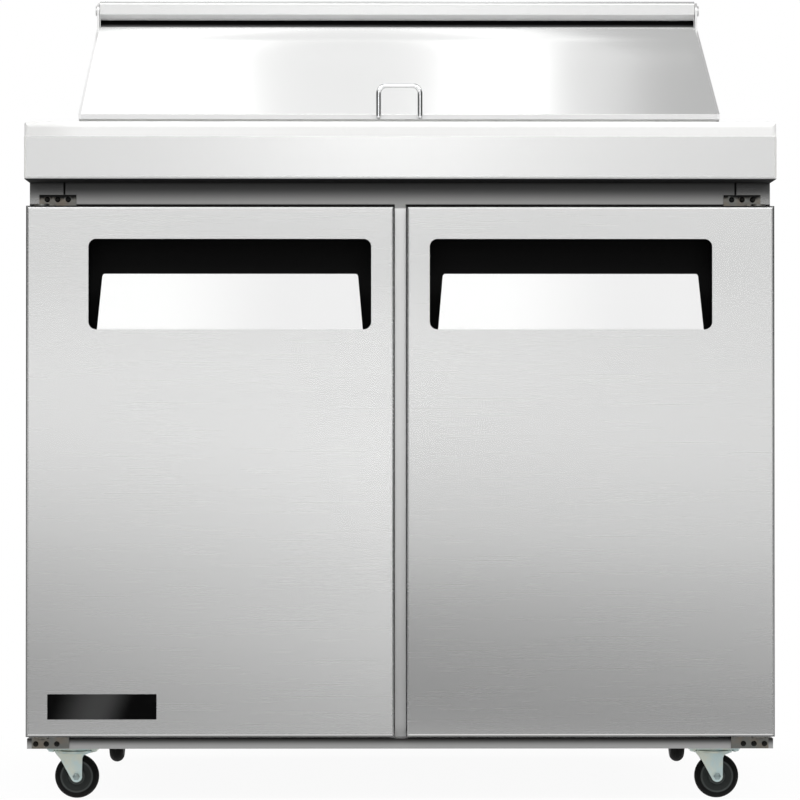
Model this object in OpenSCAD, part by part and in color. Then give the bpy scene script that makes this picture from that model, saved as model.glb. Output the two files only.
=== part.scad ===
// Refrigerated sandwich prep table: a two-door cabinet on swivel casters with a cutting
// board in front, food pans under a hinged sloping lid and the cooling unit at the rear.
// Sizes in millimetres. +Z is up, the front faces -Y, the origin lies on the floor
// under the middle of the table.

/* [Cabinet] */
// Width across the cabinet sides and the pair of doors
cabinet_w = 922; // [880:1:1100]
// Depth from the front of the worktop to its back edge
overall_d = 762; // [750:1:860]
// Height of the steel deck above the floor
deck_z = 818; // [790:1:900]
// Thickness of the insulated side and back walls
wall_t = 45; // [38:1:55]
// Thickness of the insulated floor
floor_t = 42; // [32:1:55]
// Thickness of the insulated ceiling
ceiling_t = 31; // [24:1:45]
// Thickness of the outer steel sheets
sheet_t = 1.5; // [1:0.1:2]
// Thickness of the inner liner
liner_t = 1.5; // [1:0.1:2]
// Height of the base under the doors
base_h = 12.5; // [11:0.5:20]
// Distance from the front of the worktop to the front of the base
base_setback = 40; // [38:1:48]
// Distance from the back of the worktop to the back panel
back_inset = 10; // [6:1:20]
// Width of the side panels' front returns
return_w = 43; // [36:1:50]
// Width of the post between the doors
post_w = 88; // [80:1:110]
// Depth of the post between the doors
post_d = 40; // [25:1:60]

/* [Worktop] */
// Overhang of the worktop beyond each cabinet side
worktop_over = 1; // [0:0.5:6]
// Height of the worktop's front and side faces
apron_h = 52; // [46:1:70]
// Thickness of the worktop sheet
deck_t = 2; // [1.5:0.1:2.2]
// Rounding of the apron's lower edge and front corners
apron_r = 2.5; // [2.5:0.5:8]

/* [Cutting board] */
// Thickness of the cutting board
board_t = 19; // [14:0.5:24]
// Depth of the cutting board from front to back
board_d = 198; // [170:1:204]
// Distance from the front of the worktop to the board
board_front = 0.5; // [0:0.5:6]
// Rounding of the board's long upper edges
board_r = 8; // [2:0.5:10]
// Rounding of the board's ends and corners
board_end_r = 5; // [2:0.5:10]
// Radius of the two pins that locate the board
board_pin_r = 4; // [3:0.5:6]

/* [Lid] */
// Width of the lid across its end caps
lid_w = 822; // [780:1:860]
// Distance from the front of the worktop to the lid's front lip
lid_setback = 215; // [212:1:230]
// Height of the lip's lower edge above the deck
lip_low = 38.5; // [36:0.5:44]
// Height of the lid's front lip
lip_face = 6.7; // [6.6:0.1:9]
// Thickness of the lid's steel skin
lid_skin_t = 1.5; // [1:0.1:2]
// Thickness of the insulated panel under the skin
lid_panel_t = 12; // [9:0.5:13]
// Thickness of the lid's end caps
end_cap_t = 3; // [2:0.5:4]
// Distance from the lid's hinge axis to its outer face
lid_axis_drop = 20; // [20:0.5:23]
// Width of the lid handle
bail_w = 59.5; // [50:0.5:120]
// Height of the lid handle above the lip
bail_h = 46; // [36:1:60]
// Thickness of the handle rod
bail_rod = 6.4; // [5:0.1:6.5]
// Bend radius at the handle's upper corners
bail_r = 10; // [7:0.5:16]

/* [Hood] */
// Height of the hood's top above the deck
hood_h = 229; // [218:1:250]
// Depth of the hood behind the lid
hood_d = 182; // [170:1:186]
// Overhang of the hood's nose over the lid
nose_over = 12; // [11:0.5:22]
// Height of the hood's nose
nose_h = 25; // [23:0.5:28]
// Height of the sloping lower part of the nose
nose_bevel = 6.5; // [5:0.5:8]
// Rounding of the nose's upper edge
nose_r = 5; // [4.5:0.5:6]

/* [Food pans] */
// Number of pans from side to side
pans_across = 4; // [4:1:4]
// Width of one pan across its rim
pan_w = 176; // [165:0.5:178]
// Depth of one pan across its rim, front to back
pan_d = 162; // [154:0.5:163]
// Height of a pan
pan_h = 100; // [65:1:100]
// Width of a pan's rim
pan_rim = 8; // [7:0.5:12]
// Thickness of a pan's wall
pan_wall = 1.2; // [0.8:0.1:2]
// Corner radius of a pan
pan_r = 18; // [12:1:30]
// Depth of the pan rims below the top of the rail
pan_drop = 8; // [6:0.5:12]
// Height of the pan rail above the deck
rail_h = 35; // [33:0.5:35]

/* [Doors] */
// Thickness of a door
door_t = 48; // [46:1:60]
// Gap between the two doors
door_gap = 14; // [8:1:20]
// Distance from the front of the worktop to the doors
door_setback = 15; // [8:1:15]
// Gap between the doors and the cabinet face
gasket_gap = 10; // [9:0.5:14]
// Gap between the worktop and the doors
door_top_gap = 32; // [26:1:45]
// Gap between the base and the doors
door_low_gap = 3.5; // [3.4:0.1:6]
// Rounding of the doors' front edges
door_r = 4; // [2:0.5:8]
// Thickness of the doors' inner panel
door_liner_t = 2; // [1.5:0.1:3]
// Distance from the door's edge to its gasket
gasket_inset = 21; // [20:0.5:24]
// Width of the gasket
gasket_w = 14; // [10:0.5:16]

/* [Door handles] */
// Width of the handle pocket
pocket_w = 348; // [200:1:380]
// Height of the handle pocket
pocket_h = 111.5; // [95:0.5:150]
// Corner radius of the handle pocket
pocket_r = 9.5; // [4:0.5:14]
// Depth of the handle pocket
pocket_d = 38; // [30:1:38]
// Distance from the door's top to the pocket
pocket_drop = 41; // [25:1:120]
// Distance from the door's free edge to the pocket
pocket_edge = 29; // [24:1:60]
// Wall thickness of the pocket's tub
tub_t = 2.5; // [1.5:0.1:3]
// Height of the pull lip
lip_h = 69; // [40:1:72]
// Amount by which the pocket is wider than the lip's foot
lip_side = 21; // [12:1:30]
// Amount by which the lip's top is narrower than its foot
lip_taper = 12; // [0:1:30]
// Distance that the lip's top leans into the pocket
lip_lean = 14; // [6:1:16]
// Thickness of the pull lip
lip_t = 1.5; // [1:0.1:2.5]

/* [Hinges] */
// Distance from the door's edge to its hinge axis
pivot_inset = 18; // [16:0.5:18]
// Distance from the door's front to its hinge axis
pivot_depth = 24; // [22:0.5:26]
// Radius of the hinge pins
pin_r = 4; // [3:0.5:5]
// Radial clearance of turning pins
pin_gap = 0.05; // [0.02:0.01:0.1]
// Outer radius of the bushes in the doors
bush_r = 8; // [7:0.5:9]
// Depth of the bushes in the doors
bush_h = 14; // [10:1:25]
// Width of a hinge bracket
bracket_w = 46; // [42:1:60]
// Thickness of a hinge bracket
bracket_t = 2.5; // [2:0.1:3]

/* [Casters] */
// Height of a caster from the floor to its plate's top
caster_h = 64; // [62:0.5:80]
// Diameter of a wheel
wheel_d = 55; // [48:0.5:55]
// Width of a wheel
wheel_w = 21; // [16:0.5:26]
// Offset of the wheel behind its swivel axis
caster_trail = 4; // [3:0.5:8]
// Distance from the cabinet sides to the middle of the caster runners
caster_side = 63; // [62:1:110]
// Sideways offset of the front casters on their runners
front_caster_shift = -8; // [-10:0.5:10]
// Distance that the rear casters stand further in than the runners' middle
rear_caster_in = 10.5; // [0:0.5:12]
// Distance from the front of the worktop to the front swivel axes
caster_front = 80; // [72:1:140]
// Distance from the back of the worktop to the rear swivel axes
caster_back = 118; // [70:1:160]
// Radius of a caster's axle
axle_r = 3.5; // [3:0.5:4.5]
// Radius of a caster's swivel pin
king_r = 5; // [4:0.5:6]

/* [Inside] */
// Height of the shelves above the cabinet floor
shelf_up = 310; // [290:1:330]
// Thickness of the shelf wires
wire_d = 4; // [3:0.5:5]
// Spacing of the shelf wires
wire_step = 26; // [20:1:40]
// Height of the machine space at the rear
machine_h = 240; // [232:1:250]
// Depth of the machine space at the rear
machine_d = 230; // [225:1:245]
// Width of the evaporator housing
evap_w = 520; // [440:1:560]
// Height of the evaporator housing
evap_h = 240; // [226:1:250]
// Depth of the evaporator housing
evap_d = 96; // [88:1:98]
// Radius of the fan blades
fan_r = 72; // [50:1:75]
// Diameter of the compressor shell
compressor_d = 150; // [120:1:160]
// Width of the rear grille
grille_w = 760; // [600:1:780]
// Number of slots in one column of the rear grille
grille_slots = 9; // [5:1:10]

/* [Hidden] */
$fn = 48;
eps = 0.01;
front_y = -overall_d / 2;
back_y = overall_d / 2;
half_w = cabinet_w / 2;
worktop_w = cabinet_w + 2 * worktop_over;
apron_z = deck_z - apron_h;
base_z = caster_h;
sill_z = base_z + base_h;
sill_y = front_y + base_setback;
door_front = front_y + door_setback;
door_back = door_front + door_t;
face_y = door_back + gasket_gap;
door_z0 = sill_z + door_low_gap;
door_z1 = apron_z - door_top_gap;
door_h = door_z1 - door_z0;
door_x0 = -half_w;
door_x1 = -door_gap / 2;
shell_back = back_y - back_inset;
// Inside of the cabinet
room_x = half_w - wall_t;
room_y1 = shell_back - wall_t;
room_z0 = sill_z + floor_t;
room_z1 = apron_z - ceiling_t;
machine_y = shell_back - machine_d;
machine_z = sill_z + machine_h;
step_y = machine_y - wall_t + 5;
step_z = machine_z + floor_t - 2;
opening_x = half_w - return_w;
opening_z0 = door_z0 + gasket_inset + gasket_w + 4;
opening_z1 = door_z1 - gasket_inset - gasket_w - 4;
// Pan rail
well_w = pans_across * pan_w + 6;
well_d = 2 * pan_d + 6;
lid_y = front_y + lid_setback;
well_y0 = lid_y + 14;
well_y1 = well_y0 + well_d;
rail_t = 2;
rail_z = deck_z + rail_h;
ledge_z = rail_z - pan_drop - pan_wall;
pan_pitch_x = pan_w + 0.5;
pan_pitch_y = pan_d + 1;
pan_mid_y = (well_y0 + well_y1) / 2;
// Hood and lid hinge
hood_y = back_y - hood_d;
hood_z = deck_z + hood_h;
hood_w = lid_w - 2 * end_cap_t - 1;
axis_y = hood_y - 5;
axis_z = hood_z - 13;
lip_z1 = deck_z + lip_low + lip_face;
reach_y = axis_y - lid_y;
reach_z = axis_z - lip_z1;
reach = sqrt(reach_y * reach_y + reach_z * reach_z);
lid_slope = atan2(reach_z, reach_y) - asin(lid_axis_drop / reach);
lid_len = sqrt(reach * reach - lid_axis_drop * lid_axis_drop) - 10;
// Board
board_y0 = front_y + board_front;
board_y1 = board_y0 + board_d;
board_pin_x = worktop_w / 2 - 60;
board_pin_y = (board_y0 + board_y1) / 2;
// Door handle
pocket_x1 = door_x1 - pocket_edge;
pocket_x0 = pocket_x1 - pocket_w;
pocket_z1 = door_z1 - pocket_drop;
pocket_z0 = pocket_z1 - pocket_h;
pocket_mid = (pocket_x0 + pocket_x1) / 2;
pocket_y1 = door_front + sheet_t + pocket_d;
lip_foot = pocket_w - lip_side;
// Hinges
pivot_x = -half_w + pivot_inset;
pivot_y = door_front + pivot_depth;
upper_leaf_z = door_z1 + 0.5;
// Casters
wheel_r = wheel_d / 2;
crown_z = wheel_d + 1.5;
crown_t = 2.5;
plate_t = 2.5;
caster_x = half_w - caster_side;
caster_y0 = front_y + caster_front;
caster_y1 = back_y - caster_back;
runner_w = 104;
// Cooling unit
shelf_z = room_z0 + shelf_up;
evap_y = room_y1 - evap_d;
evap_z1 = room_z1 - 14;
evap_z0 = evap_z1 - evap_h;
evap_fan_z = evap_z0 + evap_h / 2 + 10;
floor_z = sill_z;
unit_fan_x = 170;
unit_fan_z = floor_z + 118;
unit_fan_y = shell_back - 140;
tray_side = 30;
tray_w = 120;
tray_h = 34;
unit_gap = 18;
foot_over = 8;
compressor_x = -half_w + tray_side + tray_w + unit_gap + foot_over + compressor_d / 2;
compressor_y = machine_y + machine_d / 2;
condenser_h = machine_h - 24;
condenser_half = fan_r + 46;
evap_fan_x = -evap_w / 2 + 200;
air_slot_x = evap_fan_x + fan_r + 58;
dial_x = evap_w / 2 - 70;
dial_z = evap_z0 + evap_h / 4;
grille_t = 1.5;
gland_x = 0;
gland_z = sill_z + machine_h / 4;

// Block between two opposite corners
module block(a, b) {
  translate(a) cube(b - a);
}

// Outline in Y and Z drawn out along X
module along_x(x0, x1) {
  translate([x0, 0, 0]) rotate([90, 0, 90]) linear_extrude(x1 - x0) children();
}

// Outline in X and Z drawn out along Y
module along_y(y0, y1) {
  translate([0, y1, 0]) rotate([90, 0, 0]) linear_extrude(y1 - y0) children();
}

// Round bar along X, Y or Z
module bar_x(x0, x1, y, z, r) {
  translate([x0, y, z]) rotate([0, 90, 0]) cylinder(h = x1 - x0, r = r);
}

module bar_y(x, y0, y1, z, r) {
  translate([x, y0, z]) rotate([-90, 0, 0]) cylinder(h = y1 - y0, r = r);
}

module bar_z(x, y, z0, z1, r) {
  translate([x, y, z0]) cylinder(h = z1 - z0, r = r);
}

// Rectangle with four rounded corners
module round_rect(x0, y0, x1, y1, r) {
  translate([x0 + r, y0]) square([x1 - x0 - 2 * r, y1 - y0]);
  translate([x0, y0 + r]) square([x1 - x0, y1 - y0 - 2 * r]);
  for (x = [x0 + r, x1 - r]) {
    for (y = [y0 + r, y1 - r]) {
      translate([x, y]) circle(r);
    }
  }
}

// Rectangle with rounded corners on its low-X side only
module front_round(x0, y0, x1, y1, r) {
  translate([x0 + r, y0]) square([x1 - x0 - r, y1 - y0]);
  translate([x0, y0 + r]) square([r, y1 - y0 - 2 * r]);
  for (y = [y0 + r, y1 - r]) {
    translate([x0 + r, y]) circle(r);
  }
}

// The same piece on both sides of the middle
module both_sides() {
  children();
  mirror([1, 0, 0]) children();
}

// Base: a steel pan upside down with two runners that carry the casters
module base_pan() {
  color([0.72, 0.73, 0.74]) {
    difference() {
      block([-half_w, sill_y, base_z], [half_w, shell_back, sill_z]);
      block([-half_w + 2, sill_y + 2, base_z - 1],
            [half_w - 2, shell_back - 2, sill_z - 2]);
    }
    for (s = [-1, 1]) {
      difference() {
        block([s * caster_x - runner_w / 2, sill_y + 1, base_z],
              [s * caster_x + runner_w / 2, shell_back - 1, sill_z - 1]);
        block([s * caster_x - runner_w / 2 + 2, sill_y + 2, base_z + 2.5],
              [s * caster_x + runner_w / 2 - 2, shell_back - 2, sill_z - 2]);
      }
    }
  }
}

// Side panels: outer sheet with a return behind the door and one at the back
module side_panel() {
  block([-half_w, face_y, sill_z], [-half_w + sheet_t, shell_back, apron_z]);
  block([-half_w, face_y, sill_z], [-half_w + return_w, face_y + sheet_t, apron_z]);
  block([-half_w, shell_back - 2 * sheet_t, sill_z],
        [-half_w + 24, shell_back - sheet_t, apron_z]);
}

module left_side_panel() {
  color([0.76, 0.77, 0.78]) side_panel();
}

module right_side_panel() {
  color([0.76, 0.77, 0.78]) mirror([1, 0, 0]) side_panel();
}

// Back panel with the opening of the machine space
module back_panel() {
  color([0.68, 0.69, 0.7])
    difference() {
      block([-half_w + sheet_t, shell_back - sheet_t, sill_z],
            [half_w - sheet_t, shell_back, apron_z]);
      block([-grille_w / 2 + 14, shell_back - 10, sill_z + 12],
            [grille_w / 2 - 14, shell_back + 10, machine_z - 14]);
    }
}

// Face of the cabinet: header, strip over the base and the post between the doors
module face_frame() {
  color([0.74, 0.75, 0.76]) {
    block([-opening_x, face_y, opening_z1], [opening_x, face_y + sheet_t, apron_z]);
    block([-opening_x, face_y, sill_z], [opening_x, face_y + sheet_t, opening_z0]);
    difference() {
      block([-post_w / 2, face_y, sill_z + 1], [post_w / 2, face_y + post_d, apron_z - 1]);
      block([-post_w / 2 + sheet_t, face_y + sheet_t, sill_z],
            [post_w / 2 - sheet_t, face_y + post_d + 1, apron_z]);
      block([-post_w, face_y + sheet_t + eps, sill_z],
            [post_w, face_y + post_d + 1, room_z0]);
      block([-post_w, face_y + sheet_t + eps, room_z1],
            [post_w, face_y + post_d + 1, apron_z]);
    }
  }
}

// Space inside the liner, grown by the given amount
module room(g) {
  block([-room_x - g, face_y + sheet_t - (g > 0 ? 0 : 1), room_z0 - g],
        [room_x + g, step_y + g, room_z1 + g]);
  block([-room_x - g, face_y + sheet_t - (g > 0 ? 0 : 1), step_z - g],
        [room_x + g, room_y1 + g, room_z1 + g]);
}

// Shaft under the pans, grown by the given amount
module well(g, z0, z1) {
  block([-well_w / 2 - g, well_y0 - g, z0], [well_w / 2 + g, well_y1 + g, z1]);
}

// Inner liner, open at the front and under the pans
module cabinet_liner() {
  color([0.8, 0.81, 0.82])
    difference() {
      room(liner_t);
      room(0);
      well(rail_t, room_z1 - 5, room_z1 + 10);
    }
}

// Foam between the liner and the outer sheets, with its upper part under the deck
module foam_insulation() {
  color([0.9, 0.85, 0.6])
    difference() {
      union() {
        block([-half_w + sheet_t, face_y + sheet_t, sill_z],
              [half_w - sheet_t, shell_back - 2 * sheet_t, apron_z]);
        block([-worktop_w / 2 + deck_t, front_y + deck_t + apron_r, apron_z + deck_t],
              [worktop_w / 2 - deck_t, hood_y - 2, deck_z - deck_t]);
        block([-half_w + sheet_t, face_y + sheet_t, apron_z - 1],
              [half_w - sheet_t, hood_y - 2, apron_z + deck_t + 1]);
      }
      room(liner_t);
      well(rail_t, room_z1 - 5, deck_z + 10);
      block([-half_w, machine_y, sill_z - 1], [half_w, shell_back, machine_z]);
    }
}

// Side outline of the worktop, shrunk by the given amount, round at its lower front edge
module worktop_outline(g) {
  translate([front_y + g, apron_z + apron_r])
    square([overall_d - 2 * g, apron_h - apron_r - g]);
  translate([front_y + apron_r, apron_z + g])
    square([overall_d - apron_r - g, apron_h - 2 * g]);
  translate([front_y + apron_r, apron_z + apron_r]) circle(apron_r - g);
}

// Worktop: one folded sheet with front, side and rear faces, closed under the front
module worktop() {
  color([0.8, 0.81, 0.82])
    difference() {
      intersection() {
        along_x(-worktop_w / 2, worktop_w / 2) worktop_outline(0);
        translate([0, 0, apron_z]) linear_extrude(apron_h) rotate(90)
          front_round(front_y, -worktop_w / 2, back_y, worktop_w / 2, apron_r);
      }
      along_x(-worktop_w / 2 + deck_t, worktop_w / 2 - deck_t) worktop_outline(deck_t);
      block([-worktop_w / 2 + deck_t, face_y + sheet_t, apron_z - 1],
            [worktop_w / 2 - deck_t, back_y - deck_t, apron_z + deck_t + 1]);
      well(rail_t, deck_z - 10, deck_z + 10);
    }
}

// Rail round the pan opening: a tall frame with a ledge for the pan rims
module pan_rail() {
  color([0.78, 0.79, 0.8]) {
    difference() {
      well(rail_t, room_z1, rail_z);
      well(0, room_z1 - 1, rail_z + 1);
    }
    difference() {
      well(1, ledge_z - 2, ledge_z);
      well(-6, ledge_z - 3, ledge_z + 1);
    }
    difference() {
      well(rail_t + 7, deck_z, deck_z + 1.5);
      well(1, deck_z - 1, deck_z + 3);
    }
  }
}

// Divider bars under the rims between neighbouring pans, resting on the ledge
module pan_dividers() {
  color([0.75, 0.76, 0.77])
    difference() {
      union() {
        block([-well_w / 2 + 0.3, pan_mid_y - 6, ledge_z - 8],
              [well_w / 2 - 0.3, pan_mid_y + 6, ledge_z]);
        for (i = [1:pans_across - 1]) {
          x = (i - pans_across / 2) * pan_pitch_x;
          block([x - 6, well_y0 + 0.3, ledge_z - 8], [x + 6, well_y1 - 0.3, ledge_z]);
        }
      }
      difference() {
        well(1, ledge_z - 9, ledge_z + 1);
        well(-6.3, ledge_z - 10, ledge_z + 2);
      }
    }
}

// One food pan about its own middle, with the rim's top at zero
module food_pan() {
  difference() {
    union() {
      translate([0, 0, -pan_wall]) linear_extrude(pan_wall)
        round_rect(-pan_w / 2, -pan_d / 2, pan_w / 2, pan_d / 2, 8);
      translate([0, 0, -pan_h]) linear_extrude(pan_h)
        round_rect(-pan_w / 2 + pan_rim, -pan_d / 2 + pan_rim, pan_w / 2 - pan_rim,
                   pan_d / 2 - pan_rim, pan_r);
    }
    translate([0, 0, -pan_h + pan_wall]) linear_extrude(pan_h)
      round_rect(-pan_w / 2 + pan_rim + pan_wall, -pan_d / 2 + pan_rim + pan_wall,
                 pan_w / 2 - pan_rim - pan_wall, pan_d / 2 - pan_rim - pan_wall,
                 pan_r - pan_wall);
  }
}

module pan_row(y) {
  for (i = [0:pans_across - 1]) {
    translate([(i - (pans_across - 1) / 2) * pan_pitch_x, y, ledge_z + pan_wall])
      food_pan();
  }
}

module front_food_pans() {
  color([0.82, 0.83, 0.84]) pan_row(pan_mid_y - pan_pitch_y / 2);
}

module rear_food_pans() {
  color([0.82, 0.83, 0.84]) pan_row(pan_mid_y + pan_pitch_y / 2);
}

// Side outline of the hood with its nose, shrunk by the given amount
module hood_outline(g) {
  difference() {
    union() {
      translate([hood_y + g, deck_z - (g > 0 ? 1 : 0)])
        square([hood_d - 2 * g, hood_h - g + (g > 0 ? 1 : 0)]);
      translate([hood_y - nose_over + nose_r, hood_z - nose_h + g])
        square([nose_over + 10, nose_h - 2 * g]);
      translate([hood_y - nose_over + g, hood_z - nose_h + g])
        square([nose_r, nose_h - nose_r - g]);
      translate([hood_y - nose_over + nose_r, hood_z - nose_r]) circle(nose_r - g);
    }
    polygon([[hood_y - nose_over - 1, hood_z - nose_h - 1],
             [hood_y - nose_over - 1, hood_z - nose_h + nose_bevel + 1 + 1.4 * g],
             [hood_y - nose_over + nose_bevel + 1 + 1.4 * g, hood_z - nose_h - 1]]);
  }
}

// Fixed rear hood: a hollow steel housing whose nose overhangs the lid
module rear_hood() {
  color([0.8, 0.81, 0.82])
    difference() {
      along_x(-hood_w / 2, hood_w / 2) hood_outline(0);
      along_x(-hood_w / 2 + 2, hood_w / 2 - 2) hood_outline(2);
      bar_x(-hood_w / 2 - 1, hood_w / 2 + 1, axis_y, axis_z, pin_r);
    }
}

// Hinge brackets: angle on the header above each door and angle on the sill below it
module upper_bracket() {
  difference() {
    union() {
      block([pivot_x - 6, face_y - bracket_t, upper_leaf_z],
            [pivot_x - 6 + bracket_w, face_y, upper_leaf_z + 16]);
      block([pivot_x - 6, pivot_y, upper_leaf_z],
            [pivot_x + 14, face_y, upper_leaf_z + bracket_t]);
      bar_z(pivot_x, pivot_y, upper_leaf_z, upper_leaf_z + bracket_t, 9);
    }
    bar_z(pivot_x, pivot_y, upper_leaf_z - 1, upper_leaf_z + 10, pin_r);
  }
}

module lower_bracket() {
  difference() {
    union() {
      block([pivot_x - 12, sill_y - bracket_t, base_z + 0.5],
            [pivot_x - 12 + bracket_w, sill_y, sill_z + bracket_t]);
      block([pivot_x - 9, pivot_y, sill_z], [pivot_x + 9, sill_y + 14, sill_z + bracket_t]);
      bar_z(pivot_x, pivot_y, sill_z, sill_z + bracket_t, 9);
    }
    bar_z(pivot_x, pivot_y, sill_z - 1, sill_z + 10, pin_r);
  }
}

module hinge_brackets() {
  color([0.5, 0.48, 0.46])
    both_sides() {
      upper_bracket();
      lower_bracket();
    }
}

// Hinge pins of the doors and of the lid
module hinge_pins() {
  color([0.7, 0.7, 0.7])
    both_sides() {
      bar_z(pivot_x, pivot_y, door_z1 - bush_h + 2, upper_leaf_z + bracket_t, pin_r);
      bar_z(pivot_x, pivot_y, sill_z, door_z0 + bush_h - 2, pin_r);
      bar_x(hood_w / 2 - 12, lid_w / 2 + 0.4, axis_y, axis_z, pin_r);
      bar_x(lid_w / 2 + 0.4, lid_w / 2 + 2.4, axis_y, axis_z, pin_r + 3);
    }
}

// Four bolt heads under one caster plate, outside the reach of the turning fork
module plate_bolts() {
  for (x = [-26, 26]) {
    for (y = [-19.5, 19.5]) {
      bar_z(x, y, base_z - plate_t - 3, base_z - plate_t, 4.5);
    }
  }
}

// Screws of the brackets and the grille, bolts of the casters, pins of the board
module fasteners() {
  color([0.35, 0.34, 0.33]) {
    both_sides() {
      for (x = [4, 17, 30]) {
        bar_y(pivot_x + x, face_y - bracket_t - 2, face_y - bracket_t, upper_leaf_z + 10, 3.2);
        bar_y(pivot_x + x - 11, sill_y - bracket_t - 1.6,
              sill_y - bracket_t, base_z + base_h / 2, 3.2);
      }
      for (z = [sill_z + 6, machine_z - 8]) {
        bar_y(-grille_w / 2 + 7, shell_back + grille_t, shell_back + grille_t + 2, z, 3.5);
      }
      bar_z(-board_pin_x, board_pin_y, deck_z, deck_z + board_t * 0.4, board_pin_r);
    }
    for (side = [-1, 1]) {
      at_caster(side, false) plate_bolts();
      at_caster(side, true) plate_bolts();
    }
  }
}

// One wire shelf: a rod border, three cross rods and wires from front to back
shelf_x0 = 8;
shelf_x1 = room_x - 14;
shelf_y0 = face_y + post_d + 12;
shelf_y1 = evap_y - 14;
module shelf() {
  zr = shelf_z - wire_d;
  n = floor((shelf_x1 - shelf_x0 - 16) / wire_step);
  gap = (shelf_x1 - shelf_x0) / (n + 1);
  for (y = [shelf_y0 + 4, (shelf_y0 + shelf_y1) / 2, shelf_y1 - 4]) {
    bar_x(shelf_x0, shelf_x1, y, zr, 3);
  }
  for (i = [0:n + 1]) {
    x = i == 0 ? shelf_x0 + 4 : i == n + 1 ? shelf_x1 - 4 : shelf_x0 + i * gap;
    bar_y(x, shelf_y0, shelf_y1, zr + 2 + wire_d / 2, wire_d / 2);
  }
}

module right_shelf() {
  color([0.85, 0.86, 0.87]) shelf();
}

module left_shelf() {
  color([0.85, 0.86, 0.87]) mirror([1, 0, 0]) shelf();
}

// Slotted strips on the walls and in the middle, with the clips that hold the shelves
strip_z0 = step_z + 4;
strip_z1 = room_z1 - 20;
clip_y0 = shelf_y0 + 40;
clip_y1 = shelf_y1 - 40;
module strip(x0, x1, y) {
  difference() {
    block([x0, y - 10, room_z0 + 20], [x1, y + 10, strip_z1]);
    for (i = [0:13]) {
      block([x0 - 1, y - 4, strip_z0 + 30 + i * 20], [x1 + 1, y + 4, strip_z0 + 36 + i * 20]);
    }
  }
}

module shelf_supports() {
  color([0.7, 0.71, 0.72]) {
    both_sides() {
      for (y = [clip_y0, clip_y1]) {
        difference() {
          strip(-room_x, -room_x + 6, y);
          if (y > step_y - 20) {
            block([-half_w, y - 20, room_z0], [0, y + 20, step_z]);
          }
        }
        block([-room_x + 6, y - 8, shelf_z - wire_d - 7], [-shelf_x1 + 6, y + 8, shelf_z - wire_d - 3]);
      }
      block([-shelf_x0 - 8, shelf_y0, shelf_z - wire_d - 7],
            [-eps, shelf_y0 + 6, shelf_z - wire_d - 3]);
    }
    block([-6, face_y + post_d - 1, shelf_z - wire_d - 7],
          [6, shelf_y0 + 6, shelf_z - wire_d - 3]);
    block([-post_w / 2 + sheet_t, face_y + post_d - 4, shelf_z - wire_d - 17],
          [post_w / 2 - sheet_t, face_y + post_d, shelf_z - wire_d - 3]);
    block([-shelf_x0 - 8, shelf_y1 - 6, shelf_z - wire_d - 7],
          [shelf_x0 + 8, evap_y, shelf_z - wire_d - 3]);
  }
}

// Evaporator: fin pack with its end plates, standing inside the housing
module evaporator_coil() {
  color([0.75, 0.76, 0.78]) {
    fin_pack(-evap_w / 2 + 30, evap_w / 2 - 30, room_y1 - 36, room_y1,
             evap_z0 + 24, evap_z1 - 22, 26);
  }
}

// Pack of thin fins between two end plates, threaded on round tubes
module fin_pack(x0, x1, y0, y1, z0, z1, n) {
  step = (x1 - x0 - 3) / n;
  for (i = [0:n]) {
    block([x0 + i * step, y0, z0], [x0 + i * step + (i == 0 || i == n ? 3 : 1.6), y1, z1]);
  }
  for (k = [1:4]) {
    bar_x(x0 - 6, x1 + 6, (y0 + y1) / 2, z0 + k * (z1 - z0) / 5, 4.5);
  }
}

// Housing over the evaporator: front cover with the fan's ring and air slots
module evaporator_housing() {
  color([0.78, 0.79, 0.8])
    difference() {
      block([-evap_w / 2, evap_y, evap_z0], [evap_w / 2, room_y1, evap_z1]);
      block([-evap_w / 2 + 2, evap_y + 2, evap_z0 + 2], [evap_w / 2 - 2, room_y1 + 1, evap_z1 - 2]);
      bar_y(evap_fan_x, evap_y - 1, evap_y + 5, evap_fan_z, fan_r + 4);
      for (i = [0:6]) {
        block([air_slot_x, evap_y - 1, evap_z1 - 40 - i * 14], [evap_w / 2 - 24, evap_y + 5, evap_z1 - 34 - i * 14]);
      }
      bar_y(dial_x, evap_y - 1, evap_y + 5, dial_z, 4);
    }
}

// Fan motors: round body, shaft and three arms that reach the piece behind or round it
module fan_motors() {
  color([0.2, 0.2, 0.21]) {
    bar_y(evap_fan_x, evap_y + 22, evap_y + 48, evap_fan_z, 22);
    bar_y(evap_fan_x, evap_y + 6, evap_y + 23, evap_fan_z, 4);
    for (a = [30, 150, 270]) {
      translate([evap_fan_x, evap_y + 26, evap_fan_z]) rotate([0, a, 0])
        block([18, -3, -5], [fan_r + 12, 3, 5]);
      translate([evap_fan_x, evap_y + 2, evap_fan_z]) rotate([0, a, 0])
        block([fan_r + 6, 0, -5], [fan_r + 12, 27, 5]);
    }
    bar_y(unit_fan_x, unit_fan_y - 52, unit_fan_y - 8, unit_fan_z, 32);
    bar_y(unit_fan_x, unit_fan_y - 9, unit_fan_y + 12, unit_fan_z, 5);
    difference() {
      block([unit_fan_x - 15, unit_fan_y - 46, floor_z],
            [unit_fan_x + 15, unit_fan_y - 14, unit_fan_z]);
      block([unit_fan_x - 12, unit_fan_y - 47, floor_z + 3],
            [unit_fan_x + 12, unit_fan_y - 13, unit_fan_z - 36]);
    }
  }
}

// Fan: hub with pitched blades about the Y axis, middle of the hub at the origin
module fan(r, bore) {
  difference() {
    union() {
      bar_y(0, -7, 7, 0, 17);
      for (a = [0:72:288]) {
        rotate([0, a, 0]) rotate([32, 0, 0]) translate([12, -0.9, -15]) cube([r - 14, 1.8, 30]);
      }
    }
    bar_y(0, -20, 20, 0, bore);
  }
}

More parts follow.
